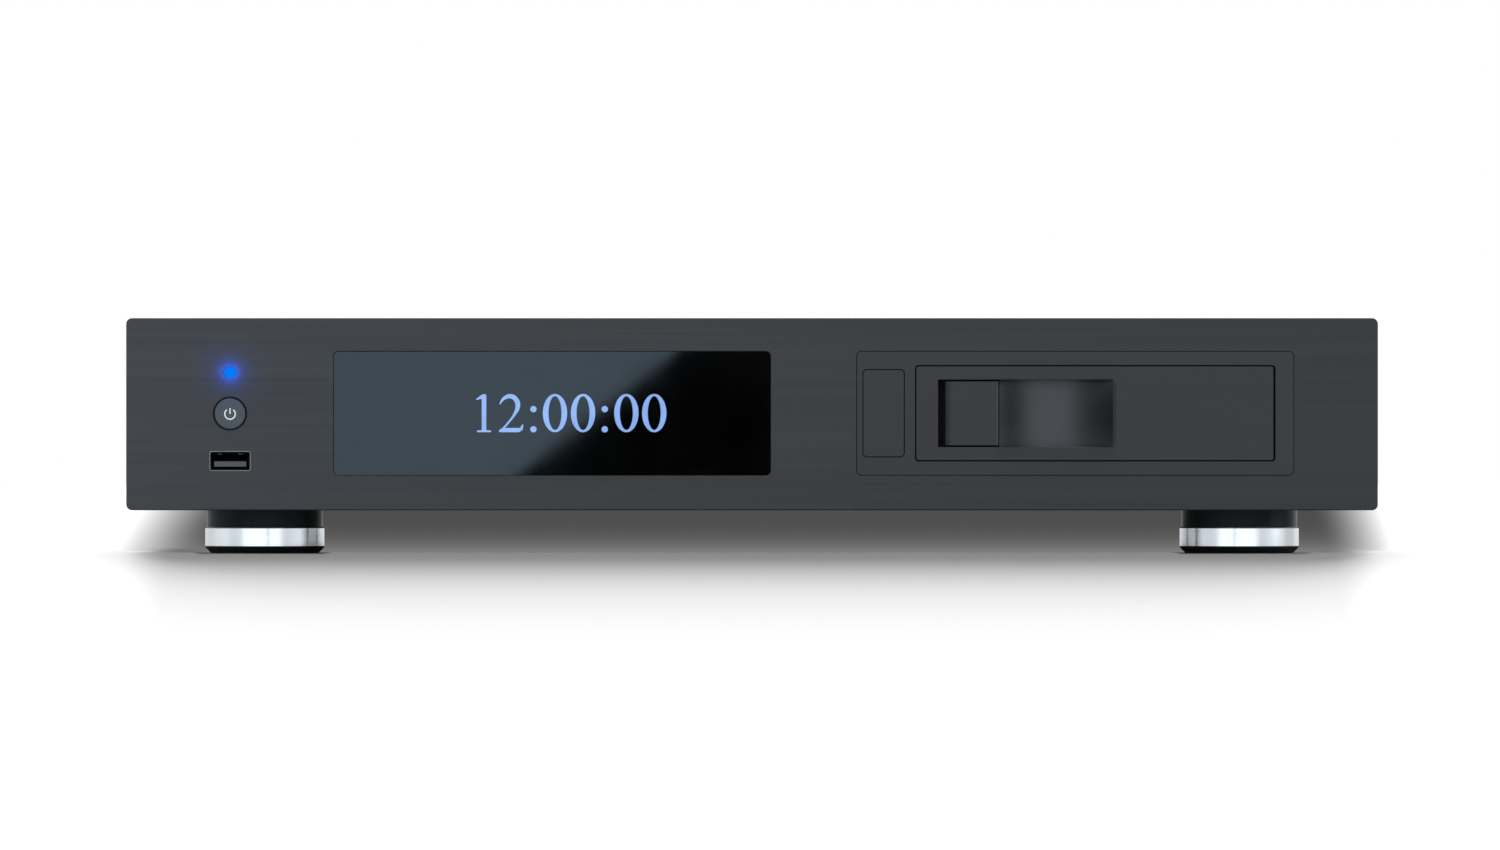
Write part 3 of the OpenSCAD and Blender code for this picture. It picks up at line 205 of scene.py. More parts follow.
def start_material(name, roughness, metallic=0.0, gloss=0.5):
    """A node material with constant roughness, metalness and gloss on the shader's own sockets."""
    material = bpy.data.materials.new(name)
    material.use_nodes = True
    shader = material.node_tree.nodes["Principled BSDF"]
    shader.inputs["Roughness"].default_value = roughness
    shader.inputs["Metallic"].default_value = metallic
    shader.inputs["Specular IOR Level"].default_value = gloss
    return material, material.node_tree, shader


def bare_material(name):
    """A material with an empty node tree."""
    material = bpy.data.materials.new(name)
    material.use_nodes = True
    material.node_tree.nodes.clear()
    return material, material.node_tree


def put_out(tree, shader, kind="OutputMaterial"):
    """Links a shader node to the tree's output."""
    tree.links.new(shader.outputs[0], add_node(tree, kind).inputs["Surface"])


def stretched_noise(tree, stretch, detail):
    """Noise on Object coordinates, stretched by the three counts per metre."""
    mapped = add_node(tree, "Mapping", {"Vector": object_place(tree), "Scale": stretch}).outputs["Vector"]
    sockets = {"Vector": mapped, "Scale": 1.0, "Detail": detail, "Roughness": 0.6}
    return add_node(tree, "TexNoise", sockets).outputs["Fac"]


def remap(tree, value, low, high, to_low=0.0, to_high=1.0, **settings):
    """A value carried from one range to another, held at the ends unless the settings say otherwise."""
    sockets = {"Value": value, "From Min": low, "From Max": high, "To Min": to_low, "To Max": to_high}
    return add_node(tree, "MapRange", sockets, **settings).outputs["Result"]


def scaled(colour, share):
    """A colour made lighter or darker by a share."""
    return tuple(channel * share for channel in colour)


def object_place(tree):
    """The place of a point in the object's own space."""
    return add_node(tree, "TexCoord").outputs["Object"]


def object_axes(tree):
    """The three coordinates of a point in the object's own space."""
    return add_node(tree, "SeparateXYZ", {"Vector": object_place(tree)}).outputs


def work_out(tree, operation, *values):
    """The result of a math node on one, two or three values."""
    return add_node(tree, "Math", dict(enumerate(values)), operation=operation).outputs[0]


def mixed(tree, factor, first, second, **settings):
    """A mix of two colours, each given as a socket or as a colour."""
    ends = [value if isinstance(value, bpy.types.NodeSocket) else (*value, 1.0) for value in (first, second)]
    sockets = {0: factor, 6: ends[0], 7: ends[1]}
    return add_node(tree, "Mix", sockets, data_type="RGBA", **settings).outputs[2]


def set_tone(tree, shader, factor, dark, light, span=(0.3, 0.7)):
    """Lets the base colour run from dark to light as a factor runs over its span."""
    share = remap(tree, factor, *span) if span else factor
    tree.links.new(mixed(tree, share, dark, light), shader.inputs["Base Color"])


def set_roughness(tree, shader, factor, low, high, span=(0.3, 0.7)):
    """Lets the roughness run from low to high as a factor runs over its span."""
    tree.links.new(remap(tree, factor, *span, low, high), shader.inputs["Roughness"])


def set_relief(tree, shader, height, depth, edge=0.0):
    """Bumps the shader by a height from 0 to 1, over edges that are softened by a radius."""
    sockets = {"Height": height, "Distance": depth, "Strength": 1.0}
    if edge:
        sockets["Normal"] = add_node(tree, "Bevel", {"Radius": edge}, samples=6).outputs["Normal"]
    relief = add_node(tree, "Bump", sockets)
    tree.links.new(relief.outputs["Normal"], shader.inputs["Normal"])


def brushed_anodised(name, colour, edge, contrast, roughness=0.44, grain=2400.0):
    """Dark anodised metal, brushed along X: long faint streaks, and a broad drift in tone."""
    material, tree, shader = start_material(name, roughness, 0.55, 0.3)
    fine = stretched_noise(tree, (7.0, grain, grain), 2.0)
    broad = stretched_noise(tree, (2.5, 170.0, 170.0), 3.0)
    both = work_out(tree, "ADD", fine, broad)
    set_tone(tree, shader, both, scaled(colour, 1 - contrast), scaled(colour, 1 + contrast), (0.7, 1.3))
    set_roughness(tree, shader, fine, roughness - 0.05, roughness + 0.06)
    set_relief(tree, shader, fine, 0.000004, edge)
    return material


def inside_box(tree, low, high, soft=0.0001):
    """1 inside a box of the object's own space and 0 outside: the product of six short ramps."""
    mask = None
    for axis, start, end in zip(object_axes(tree), low, high):
        for edge, sign in ((start, 1), (end, -1)):
            ramp = remap(tree, axis, edge - sign * soft, edge + sign * soft)
            mask = ramp if mask is None else work_out(tree, "MULTIPLY", mask, ramp)
    return mask


def refinish(material, low, high, colour, roughness, metallic):
    """Gives the part of a surface that lies inside a box another colour, roughness and metalness."""
    tree = material.node_tree
    shader = tree.nodes["Principled BSDF"]
    mask = inside_box(tree, low, high)
    for socket, value, kind, first, second, result in (
        ("Base Color", (*colour, 1.0), "RGBA", 6, 7, 2),
        ("Roughness", roughness, "FLOAT", 2, 3, 0),
        ("Metallic", metallic, "FLOAT", 2, 3, 0),
    ):
        target = shader.inputs[socket]
        before = target.links[0].from_socket if target.links else target.default_value
        mix = add_node(tree, "Mix", {0: mask, first: before, second: value}, data_type=kind)
        tree.links.new(mix.outputs[result], target)
    return material


def paint_light_and_shade_across(material, left, right, first, last):
    """Paints light and shade across a surface from its left end to its right end: its base colour times a
    ramp along X.
    """
    tree = material.node_tree
    shader = tree.nodes["Principled BSDF"]
    base = shader.inputs["Base Color"].links[0].from_socket
    tint = mixed(tree, remap(tree, object_axes(tree)[0], left, right), first, last)
    both = mixed(tree, 1.0, base, tint, blend_type="MULTIPLY")
    tree.links.new(both, shader.inputs["Base Color"])
    return material


def grained(name, colour, tones, grain, depth, swing=None, drift=None, span=(0.3, 0.7), edge=0.0, **base):
    """A finish whose skin is bumped by a noise. Its tone runs between two shares of its colour by the same
    noise or by a broader one, and its roughness swings about its middle. Each noise is (stretch, detail)."""
    material, tree, shader = start_material(name, **base)
    fine = stretched_noise(tree, *grain)
    broad = stretched_noise(tree, *drift) if drift else fine
    set_tone(tree, shader, broad, scaled(colour, tones[0]), scaled(colour, tones[1]), span)
    if swing:
        centre = base["roughness"]
        set_roughness(tree, shader, fine, centre + swing[0], centre + swing[1])
    set_relief(tree, shader, fine, depth, edge)
    return material


def satin_plastic(name, colour, edge=0.0, roughness=0.42, gloss=0.5):
    """Moulded plastic with a fine spark-eroded grain."""
    return grained(name, colour, (0.93, 1.07), ((4200.0,) * 3, 2.0), 0.00001, (-0.06, 0.07),
                   ((22.0,) * 3, 2.0), edge=edge, roughness=roughness, gloss=gloss)


def powder_coat(name, colour, edge):
    """Black powder coat: a fine pebbled skin."""
    return grained(name, colour, (0.88, 1.15), ((1500.0,) * 3, 2.0), 0.00004, (-0.1, 0.1),
                   ((14.0,) * 3, 3.0), edge=edge, roughness=0.5)


def zinc_sheet(name, colour, edge=0.0):
    """Zinc plated steel: cell-shaped spangle that shifts tone and gloss, under faint rolling lines."""
    material, tree, shader = start_material(name, 0.34, 1.0)
    cells = add_node(tree, "TexVoronoi", {"Vector": object_place(tree), "Scale": 190.0})
    tone = add_node(tree, "RGBToBW", {"Color": cells.outputs["Color"]}).outputs["Val"]
    lines = stretched_noise(tree, (12.0, 900.0, 900.0), 2.0)
    set_tone(tree, shader, tone, scaled(colour, 0.9), scaled(colour, 1.06), (0.2, 0.8))
    set_roughness(tree, shader, tone, 0.28, 0.42, (0.2, 0.8))
    set_relief(tree, shader, lines, 0.000006, edge)
    return material


def turned_metal(name, colour):
    """Metal turned on a lathe and polished: fine rings round an upright axis."""
    return grained(name, colour, (0.95, 1.0), ((5.0, 5.0, 2600.0), 2.0), 0.000003, (-0.04, 0.05),
                   roughness=0.14, metallic=1.0)


def plated_steel(name, colour, roughness=0.3):
    """Plated steel of screws, springs and shells: soft scuffs in tone and gloss."""
    return grained(name, colour, (0.86, 1.0), ((320.0,) * 3, 4.0), 0.000008, (-0.08, 0.1),
                   roughness=roughness, metallic=1.0)


def rubber(name, colour):
    """Matt rubber with a dusty bloom."""
    return grained(name, colour, (1.0, 1.5), ((700.0,) * 3, 4.0), 0.00003, span=(0.35, 0.7),
                   roughness=0.7, gloss=0.4)


def taped_winding(name, colour):
    """Yellow tape wound round a transformer: overlapping turns that fan out from its axis."""
    return grained(name, colour, (0.7, 1.2), ((160.0, 160.0, 40.0), 3.0), 0.0002, span=None, roughness=0.4)


def circuit_board(name):
    """Green solder mask with lighter copper tracks on a fine grid."""
    material, tree, shader = start_material(name, 0.35)
    tracks = add_node(tree, "TexBrick", {
        "Vector": object_place(tree), "Scale": 95.0, "Mortar Size": 0.035,
        "Color1": (0.008, 0.07, 0.03, 1.0), "Color2": (0.006, 0.055, 0.025, 1.0),
        "Mortar": (0.03, 0.16, 0.07, 1.0)})
    tree.links.new(tracks.outputs["Color"], shader.inputs["Base Color"])
    set_relief(tree, shader, tracks.outputs["Fac"], 0.00002)
    return material


def smoked_window(name, clear):
    """Smoked acrylic: black, glossy, and clear by a share; faint wipe marks vary its gloss."""
    material, tree, shader = start_material(name, 0.03)
    wipe = stretched_noise(tree, (30.0,) * 3, 3.0)
    set_tone(tree, shader, wipe, (0.0006, 0.0006, 0.0007), (0.0012, 0.0013, 0.0015), None)
    shader.inputs["Alpha"].default_value = 1.0 - clear
    shader.inputs["Specular IOR Level"].default_value = 0.5 / (1.0 - clear)
    set_roughness(tree, shader, wipe, 0.025, 0.05)
    return material


def black_print(name):
    """Black screen print on the back of the window, with a faint mesh of the printing screen."""
    material, tree, shader = start_material(name, 0.6)
    mesh = stretched_noise(tree, (3000.0,) * 3, 1.0)
    set_tone(tree, shader, mesh, (0.0008, 0.0008, 0.0009), (0.0018, 0.0018, 0.002), None)
    shader.inputs["Specular IOR Level"].default_value = 0.0
    return material


def glowing(name, colour, strength, drift=0.12, grain=260.0):
    """A lit surface whose glow drifts a little over its face."""
    material, tree, shader = start_material(name, 0.5)
    cloud = stretched_noise(tree, (grain,) * 3, 2.0)
    lit = mixed(tree, remap(tree, cloud, 0.3, 0.7), scaled(colour, 1 - drift), colour)
    shader.inputs["Base Color"].default_value = (0.0, 0.0, 0.0, 1.0)
    shader.inputs["Specular IOR Level"].default_value = 0.0
    tree.links.new(lit, shader.inputs["Emission Color"])
    shader.inputs["Emission Strength"].default_value = strength
    return material


def dim_rim(material, centre, radius, colour):
    """Dims a lit face towards its rim: its glow turns to another colour from 55 % of the radius outward."""
    tree = material.node_tree
    shader = tree.nodes["Principled BSDF"]
    lit = shader.inputs["Emission Color"].links[0].from_socket
    flat = add_node(
        tree, "VectorMath", {0: object_place(tree), 1: (1.0, 0.0, 1.0)}, operation="MULTIPLY")
    gone = add_node(
        tree, "VectorMath", {0: flat.outputs[0], 1: (centre.x, 0.0, centre.z)}, operation="DISTANCE")
    share = remap(tree, gone.outputs["Value"], 0.55 * radius, radius)
    tree.links.new(mixed(tree, share, lit, colour), shader.inputs["Emission Color"])
    return material


# ---------------------------------------------------------------- surfaces


def link_mesh(name, mesh, material, smooth=False):
    """Puts a mesh in the scene as an object with a finish."""
    mesh.polygons.foreach_set("use_smooth", np.full(len(mesh.polygons), smooth))
    mesh.materials.append(material)
    mesh.update()
    made = bpy.data.objects.new(name, mesh)
    bpy.context.scene.collection.objects.link(made)
    return made


def put_mesh(name, part, body, material, smooth=False):
    """Makes an object of a (points, faces) pair, turns its faces outward, finishes it, and lets it ride on a
    body."""
    points, faces = part
    mesh = bpy.data.meshes.new(name)
    mesh.from_pydata(points.tolist(), [], faces)
    shell = bmesh.new()
    shell.from_mesh(mesh)
    bmesh.ops.recalc_face_normals(shell, faces=shell.faces)
    shell.to_mesh(mesh)
    shell.free()
    made = link_mesh(name, mesh, material, smooth)
    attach(made, body)


def grid_faces(rows, columns, close_rows=False, close_columns=False):
    """Quads of a grid of rows x columns points; either way may close on itself."""
    r, c = np.indices((rows if close_rows else rows - 1, columns if close_columns else columns - 1))
    r, c = r.ravel(), c.ravel()
    r2, c2 = (r + 1) % rows, (c + 1) % columns
    return np.stack([r * columns + c, r * columns + c2, r2 * columns + c2, r2 * columns + c], axis=1)


def end_faces(rows, columns):
    """The two faces that close a stack of rings of points at its first and last ring."""
    return [list(range(columns)), list(range((rows - 1) * columns, rows * columns))[::-1]]


def round_rectangle(width, height, corner, steps=8):
    """Outline of a rectangle with round corners: four quarter circles, anticlockwise seen from the front."""
    angle = np.radians(np.arange(4)[:, None] * 90.0 + np.linspace(0.0, 90.0, steps + 1)[None, :])
    sx = np.array([1, -1, -1, 1])[:, None]
    sz = np.array([1, 1, -1, -1])[:, None]
    x = sx * (width / 2 - corner) + corner * np.cos(angle)
    z = sz * (height / 2 - corner) + corner * np.sin(angle)
    return np.stack([x.ravel(), z.ravel()], axis=1)


def rounded_loft(width, height, corner, profile, capped=True):
    """Rounded rectangles stacked along Y: each (inset, depth) of the profile draws the outline in and back.
    Depth grows into the object. A capped loft is a closed block, an open one is a ring that joins end to
    end."""
    rows = [
        np.insert(round_rectangle(width - 2 * inset, height - 2 * inset, corner - inset), 1, depth, axis=1)
        for inset, depth in profile
    ]
    points = np.concatenate(rows)
    columns = len(rows[0])
    faces = grid_faces(len(rows), columns, not capped, True).tolist()
    return points, faces + end_faces(len(rows), columns) if capped else faces


def tangents(path):
    """Unit vectors along a path, one at each of its points."""
    along = np.gradient(path, axis=0)
    return along / np.linalg.norm(along, axis=1)[:, None]


def bar_faces(count):
    """Faces of a bar of four edges that runs through a count of square sections and has flat ends."""
    faces = grid_faces(count, 4, False, True).tolist()
    return faces + [[3, 2, 1, 0], [4 * (count - 1) + k for k in range(4)]]


def ribbon(path, widths, depth):
    """A flat stroke that faces front: at each path point (x, z) its width lies square to the path, and its
    back is the same stroke moved back by the depth. Its ends are square."""
    path = np.asarray(path, float)
    along = tangents(path)
    across = np.stack([-along[:, 1], along[:, 0]], axis=1) * np.asarray(widths, float)[:, None] / 2
    left, right = path + across, path - across
    corners = ((left, 0.0), (right, 0.0), (right, depth), (left, depth))
    rows = np.stack([np.insert(side, 1, back, axis=1) for side, back in corners], axis=1)
    return rows.reshape(-1, 3), bar_faces(len(path))


def rise(share):
    """A smooth step from 0 to 1 as its share runs from 0 to 1: three squares less two cubes."""
    held = np.clip(share, 0.0, 1.0)
    return held * held * (3 - 2 * held)


def merge(parts):
    """Joins (points, faces) pairs into one."""
    faces, start = [], 0
    for points, shell in parts:
        faces += [[corner + start for corner in face] for face in shell]
        start += len(points)
    return np.concatenate([points for points, shell in parts]), faces


def moved(part, offset):
    """A (points, faces) pair carried by an offset."""
    return part[0] + np.asarray(offset, float), part[1]


def curve_through(knots, steps=10):
    """A smooth curve through knots of any number of columns: Catmull-Rom pieces, evaluated as one array."""
    knots = np.asarray(knots, float)
    padded = np.concatenate([2 * knots[:1] - knots[1:2], knots, 2 * knots[-1:] - knots[-2:-1]])
    t = np.linspace(0.0, 1.0, steps, endpoint=False)[None, :, None]
    p0, p1, p2, p3 = (padded[k:len(padded) - 3 + k, None, :] for k in range(4))
    pieces = 0.5 * (
        2 * p1 + (p2 - p0) * t + (2 * p0 - 5 * p1 + 4 * p2 - p3) * t**2 + (3 * p1 - p0 - 3 * p2 + p3) * t**3
    )
    return np.concatenate([pieces.reshape(-1, knots.shape[1]), knots[-1:]])


def strap(path, width, thickness):
    """A flat strip of metal: its path runs in depth and height (y, z), its thickness lies square to the path
    on the lower side, and its width lies along X about the middle."""
    along = tangents(path)
    under = path + np.stack([along[:, 1], -along[:, 0]], axis=1) * thickness
    sides = ((-1, path), (1, path), (1, under), (-1, under))
    rows = [np.insert(line, 0, side * width / 2, axis=1) for side, line in sides]
    return np.stack(rows, axis=1).reshape(-1, 3), bar_faces(len(path))


def collar(profile, columns=56):
    """A ring turned about the Y axis: the closed profile of (radius, depth) points carried round a full
    circle."""
    radius, depth = np.asarray(profile, float).T[:, :, None]
    turn = np.linspace(0.0, 2 * math.pi, columns, endpoint=False)[None, :]
    points = np.stack([radius * np.cos(turn), depth + 0 * turn, radius * np.sin(turn)], axis=2)
    return points.reshape(-1, 3), grid_faces(len(radius), columns, True, True).tolist()


def dome(radius, bulge, rings=8, columns=40):
    """A shallow dome that faces front: radius times sin a across, bulge times cos a forward."""
    a = np.linspace(0.02, 1.0, rings)[:, None] * math.pi / 2
    b = np.linspace(0.0, 2 * math.pi, columns, endpoint=False)[None, :]
    x = radius * np.sin(a) * np.cos(b)
    z = radius * np.sin(a) * np.sin(b)
    y = -bulge * np.cos(a) + 0 * b
    faces = grid_faces(rings, columns, False, True)[:, ::-1].tolist()
    return np.stack([x, y, z], axis=2).reshape(-1, 3), faces + end_faces(rings, columns)


# ---------------------------------------------------------------- clock digits

# Each stroke is a list of (across, up, width) knots, in shares of the digit's height.
ONE_STEM = [(0.06, 0.99, 0.118), (0.06, 0.7, 0.12), (0.06, 0.2, 0.12), (0.06, 0.03, 0.125)]
ONE_FLAG = [(-0.145, 0.855, 0.03), (-0.08, 0.885, 0.055), (-0.02, 0.915, 0.085), (0.045, 0.955, 0.06)]
ONE_FOOT = [(-0.125, 0.022, 0.044), (0.0, 0.027, 0.054), (0.12, 0.027, 0.054), (0.245, 0.022, 0.044)]
TWO_BOWL = [
    (-0.275, 0.725, 0.025), (-0.24, 0.80, 0.05), (-0.155, 0.895, 0.085), (-0.02, 0.943, 0.112),
    (0.11, 0.893, 0.125), (0.19, 0.76, 0.128), (0.175, 0.6, 0.108), (0.09, 0.44, 0.068),
    (-0.03, 0.28, 0.05), (-0.16, 0.13, 0.045), (-0.27, 0.03, 0.05),
]
TWO_FOOT = [
    (-0.3, 0.02, 0.04), (-0.2, 0.052, 0.104), (0.0, 0.056, 0.112), (0.18, 0.056, 0.112),
    (0.268, 0.065, 0.095),
]
TWO_TIP = [(0.27, 0.06, 0.1), (0.295, 0.12, 0.065), (0.325, 0.2, 0.03)]
# Shape of the nought: outer and inner half-width, outer and inner half-height
NOUGHT = (0.318, 0.17, 0.5, 0.441)
# Places of digit middles and colons from the first digit's middle, in digit heights
DIGIT_PLACES = (("1", 0.0), ("2", 0.75), ("0", 1.915), ("0", 2.648), ("0", 3.78), ("0", 4.509))
COLON_PLACES = (1.351, 3.216)
COLON_DOT = 0.083
COLON_HEIGHTS = (0.077, 0.603)


def nought(thickness):
    """A nought: the ring between two ellipses about one middle, as deep as the thickness."""
    out_w, in_w, out_h, in_h = NOUGHT
    a = np.linspace(0.0, 2 * math.pi, 72, endpoint=False)
    outer = np.stack([out_w * np.cos(a), 0 * a, 0.5 + out_h * np.sin(a)], axis=1)
    inner = np.stack([in_w * np.cos(a), 0 * a, 0.5 + in_h * np.sin(a)], axis=1)
    back = np.array([0.0, thickness, 0.0])
    rows = np.stack([inner, outer, outer + back, inner + back], axis=1).reshape(-1, 3)
    return rows, grid_faces(len(a), 4, True, True).tolist()


def colon(thickness):
    """Two dots, one above the other."""
    a = np.linspace(0.0, 2 * math.pi, 28, endpoint=False)
    dots = []
    for height in COLON_HEIGHTS:
        ring = np.stack([COLON_DOT * np.cos(a), 0 * a, height + COLON_DOT * np.sin(a)], axis=1)
        back = ring + np.array([0.0, thickness, 0.0])
        faces = grid_faces(2, len(a), False, True)[:, ::-1].tolist()
        dots.append((np.concatenate([ring, back]), faces + end_faces(2, len(a))))
    return merge(dots)


def stroke(knots, thickness):
    """A pen stroke through (across, up, width) knots."""
    line = curve_through(knots)
    return ribbon(line[:, :2], line[:, 2], thickness)


def clock_parts(thickness):
    """All of the clock's figures, in digit heights from the first digit's middle and foot."""
    shapes = {
        "1": merge([stroke(k, thickness) for k in (ONE_STEM, ONE_FLAG, ONE_FOOT)]),
        "2": merge([stroke(k, thickness) for k in (TWO_BOWL, TWO_FOOT, TWO_TIP)]),
        "0": nought(thickness),
    }
    parts = [moved(shapes[digit], (place, 0, 0)) for digit, place in DIGIT_PLACES]
    parts += [moved(colon(thickness), (place, 0, 0)) for place in COLON_PLACES]
    return merge(parts)


# ---------------------------------------------------------------- operators

# The power symbol: where its ring begins and ends, in degrees anticlockwise from its right, the foot, middle
# and top of its bar in ring radii, its drop below the button's middle, and the thickness of the print
SYMBOL_ARC, SYMBOL_BAR = (128, 412), (0.0, 0.56, 1.12)
SYMBOL_DROP, SYMBOL_DEPTH = 0.1 * MM, 0.03 * MM
# The front USB socket's rim: its (outward, back) profile, and its width, height and corner
RIM_PROFILE = np.array([(0.0, 0.0), (0.1, -0.03), (0.22, 0.0), (0.22, 0.15), (0.0, 0.15)]) * MM
RIM_SIZE = (14.1 * MM, 6.8 * MM, 0.8 * MM)
# The front USB socket's leaf springs: sideways place, length, bulge, width and thickness
LEAF_PLACE, LEAF_LENGTH, LEAF_BULGE, LEAF_WIDTH, LEAF_THICK = 3.6 * MM, 4 * MM, 0.45 * MM, 1.8 * MM, 0.15 * MM
# A phono collar's (radius, depth) profile, and from the socket block's ends and top to a collar's middle
COLLAR_PROFILE = np.array([(4.3, 0.0), (6.1, 0.0), (6.1, 0.8), (5.8, 1.1), (4.6, 1.1), (4.3, 0.8)]) * MM
COLLAR_INSET = 6 * MM
# A network contact's path in depth and height from the socket's rear top edge, and the contacts' pitch, width
# and thickness
CONTACT_PATH = np.array([(-1.6, -2.3), (-4.0, -2.6), (-7.0, -3.3), (-10.0, -4.2), (-10.6, -4.1)]) * MM
CONTACT_PITCH, CONTACT_WIDTH, CONTACT_THICK = 1.02 * MM, 0.4 * MM, 0.25 * MM
# The mains inlet's pins: half-width and half-height of the box round each, its depth, and each pin's place
PIN_WIDE, PIN_TALL, PIN_DEPTH = 1.1 * MM, 2.1 * MM, 14.9 * MM
PIN_PLACES = ((-7 * MM, -2 * MM), (0.0, 2 * MM), (7 * MM, -2 * MM))
# Half-width of a socket's tongue, and how far it stays back from the mouth
TONGUE_HALF, TONGUE_BACK = 5.6 * MM, 0.4 * MM


def dress(nodes, material):
    """Gives CAD nodes a finish through their material slots."""
    for node in nodes:
        slots = NODES[node].data.materials
        slots.clear()
        slots.append(material)


class PLAYER_OT_case(bpy.types.Operator):
    """Finishes the faceplate, cover, inner sheets and their screws."""

    bl_idname = "player.case"
    bl_label = "Case"

    def execute(self, context):
        look = context.scene.player_case
        edge = look.edge_radius
        face = brushed_anodised("brushed_faceplate", look.faceplate, edge, 0.12)
        # Painted light and shade across the faceplate: lighter and bluer at its left end, darker at its right
        # end
        dress(["faceplate"], paint_light_and_shade_across(face, FACE_LOW.x, FACE_HIGH.x, look.painted_light_left, look.painted_shade_right))
        dress(["top_cover", "rear_panel"], powder_coat("powder_coat", look.cover, edge))
        dress(["front_frame", "bottom_pan"], zinc_sheet("zinc_sheet", look.sheet, edge))
        dress(["case_screws"], plated_steel("black_screws", (0.03, 0.03, 0.032), 0.4))
        dress(["faceplate_screws", "foot_screws", "board_screws", "hinge_pin", "rack_posts"],
              plated_steel("plated_screws", (0.62, 0.62, 0.6)))
        return {"FINISHED"}


class PLAYER_OT_feet(bpy.types.Operator):
    """Finishes the four feet: black necks, polished rings and rubber pads."""

    bl_idname = "player.feet"
    bl_label = "Feet"

    def execute(self, context):
        look = context.scene.player_case
        for word, finish in (
            ("neck", satin_plastic("foot_black", (0.0095, 0.0125, 0.015), 0.0, 0.3, 0.14)),
            ("ring", turned_metal("polished_ring", look.ring)),
            ("pad", rubber("pad_rubber", (0.006, 0.006, 0.006))),
        ):
            dress([f"foot_{word}_{number}" for number in FEET], finish)
        return {"FINISHED"}


class PLAYER_OT_display(bpy.types.Operator):
    """Finishes the smoked window and builds the black print and the glowing clock behind it."""

    bl_idname = "player.display"
    bl_label = "Display"

    def execute(self, context):
        look = context.scene.player_display
        dress(["display_window"], smoked_window("smoked_window", look.window_clear))
        dress(["display_tube"], satin_plastic("tube_housing", (0.02, 0.02, 0.022)))
        print_y = WINDOW_HIGH.y - 0.15 * MM
        width = WINDOW_HIGH.x - WINDOW_LOW.x - 0.2 * MM
        height = WINDOW_HIGH.z - WINDOW_LOW.z - 0.2 * MM
        sheet = rounded_loft(width, height, 1.5 * MM, [(0.0, 0.0), (0.0, 0.1 * MM)])
        put_mesh("window_print", moved(sheet, (WINDOW_MIDDLE.x, print_y, WINDOW_MIDDLE.z)),
                 "chassis", black_print("black_print"))
        size = look.digit_height
        points, faces = clock_parts(0.02 * MM / size)
        foot = (WINDOW_LOW.x + look.first_digit, print_y - 0.06 * MM, WINDOW_MIDDLE.z - size / 2 + 0.1 * MM)
        put_mesh("clock_digits", moved((points * size, faces), foot), "chassis",
                 glowing("clock_glow", look.digit_colour, 1.0 / look.window_clear))
        return {"FINISHED"}


class PLAYER_OT_controls(bpy.types.Operator):
    """Finishes the status light, power button and front USB socket, and adds their fine parts."""

    bl_idname = "player.controls"
    bl_label = "Controls"

    def execute(self, context):
        look = context.scene.player_controls
        edge = context.scene.player_case.edge_radius
        radius = (LIGHT_HIGH.x - LIGHT_LOW.x) / 2
        glow = glowing("status_glow", look.light_colour, 1.0, 0.0)
        lens = dim_rim(glow, LIGHT_MIDDLE, radius, (0.012, 0.15, 0.68))
        dress(["led_lens", "status_led"], lens)
        put_mesh("light_dome", moved(dome(radius, 0.5 * MM), (LIGHT_MIDDLE.x, LIGHT_LOW.y, LIGHT_MIDDLE.z)),
                 "chassis", lens, True)
        dress(["power_button"], brushed_anodised("button_cap", look.button, edge, 0.03, 0.4, 3600.0))
        ring = look.symbol_radius
        a = np.radians(np.linspace(*SYMBOL_ARC, 44))
        arc = np.stack([ring * np.cos(a), ring * np.sin(a)], axis=1)
        lines = (arc, [(0, up * ring) for up in SYMBOL_BAR])
        symbol = merge([ribbon(line, np.full(len(line), look.symbol_stroke), SYMBOL_DEPTH) for line in lines])
        # Painted light: the printed power symbol glows by itself, though it is no lamp
        place = (BUTTON_MIDDLE.x, BUTTON_LOW.y - 0.02 * MM, BUTTON_MIDDLE.z - SYMBOL_DROP)
        put_mesh("power_symbol", moved(symbol, place),
                 "power_button", glowing("glowing_symbol_print", (0.7, 0.76, 0.82), 1.0, 0.05))
        dress(["usb_front_shell"], satin_plastic("socket_shell", (0.002, 0.002, 0.0025), 0.0, 0.5, 0.05))
        tongue = satin_plastic("socket_tongue", (0.11, 0.125, 0.13), 0.0, 0.5, 0.2)
        # Painted shade: more than 2 mm behind the tongue's front, its plastic is near black and matt
        low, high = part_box("usb_front_tongue")
        refinish(tongue, low + Vector((-1, 2, -1)) * MM, high + Vector((1, 1, 1)) * MM,
                 (0.001, 0.001, 0.001), 0.9, 0.0)
        dress(["usb_front_tongue"], tongue)
        rim = rounded_loft(*RIM_SIZE, RIM_PROFILE, capped=False)
        put_mesh("usb_rim", moved(rim, (USB_MIDDLE.x, FACE_Y, USB_MIDDLE.z)), "chassis",
                 plated_steel("rim_steel", (0.26, 0.27, 0.27), 0.35))
        share = np.linspace(0.0, 1.0, 13)
        low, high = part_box("usb_front_shell")
        leaf_y = low.y + 0.15 * MM + LEAF_LENGTH * share
        leaf_z = high.z - 0.3 * MM - LEAF_BULGE * np.sin(math.pi * share)
        leaf = strap(np.stack([leaf_y, leaf_z], axis=1), LEAF_WIDTH, LEAF_THICK)
        leaves = merge([moved(leaf, (USB_MIDDLE.x + side * LEAF_PLACE, 0, 0)) for side in (-1, 1)])
        put_mesh("usb_leaf_springs", leaves, "chassis",
                 plated_steel("leaf_steel", (0.2, 0.21, 0.21), 0.4), True)
        return {"FINISHED"}


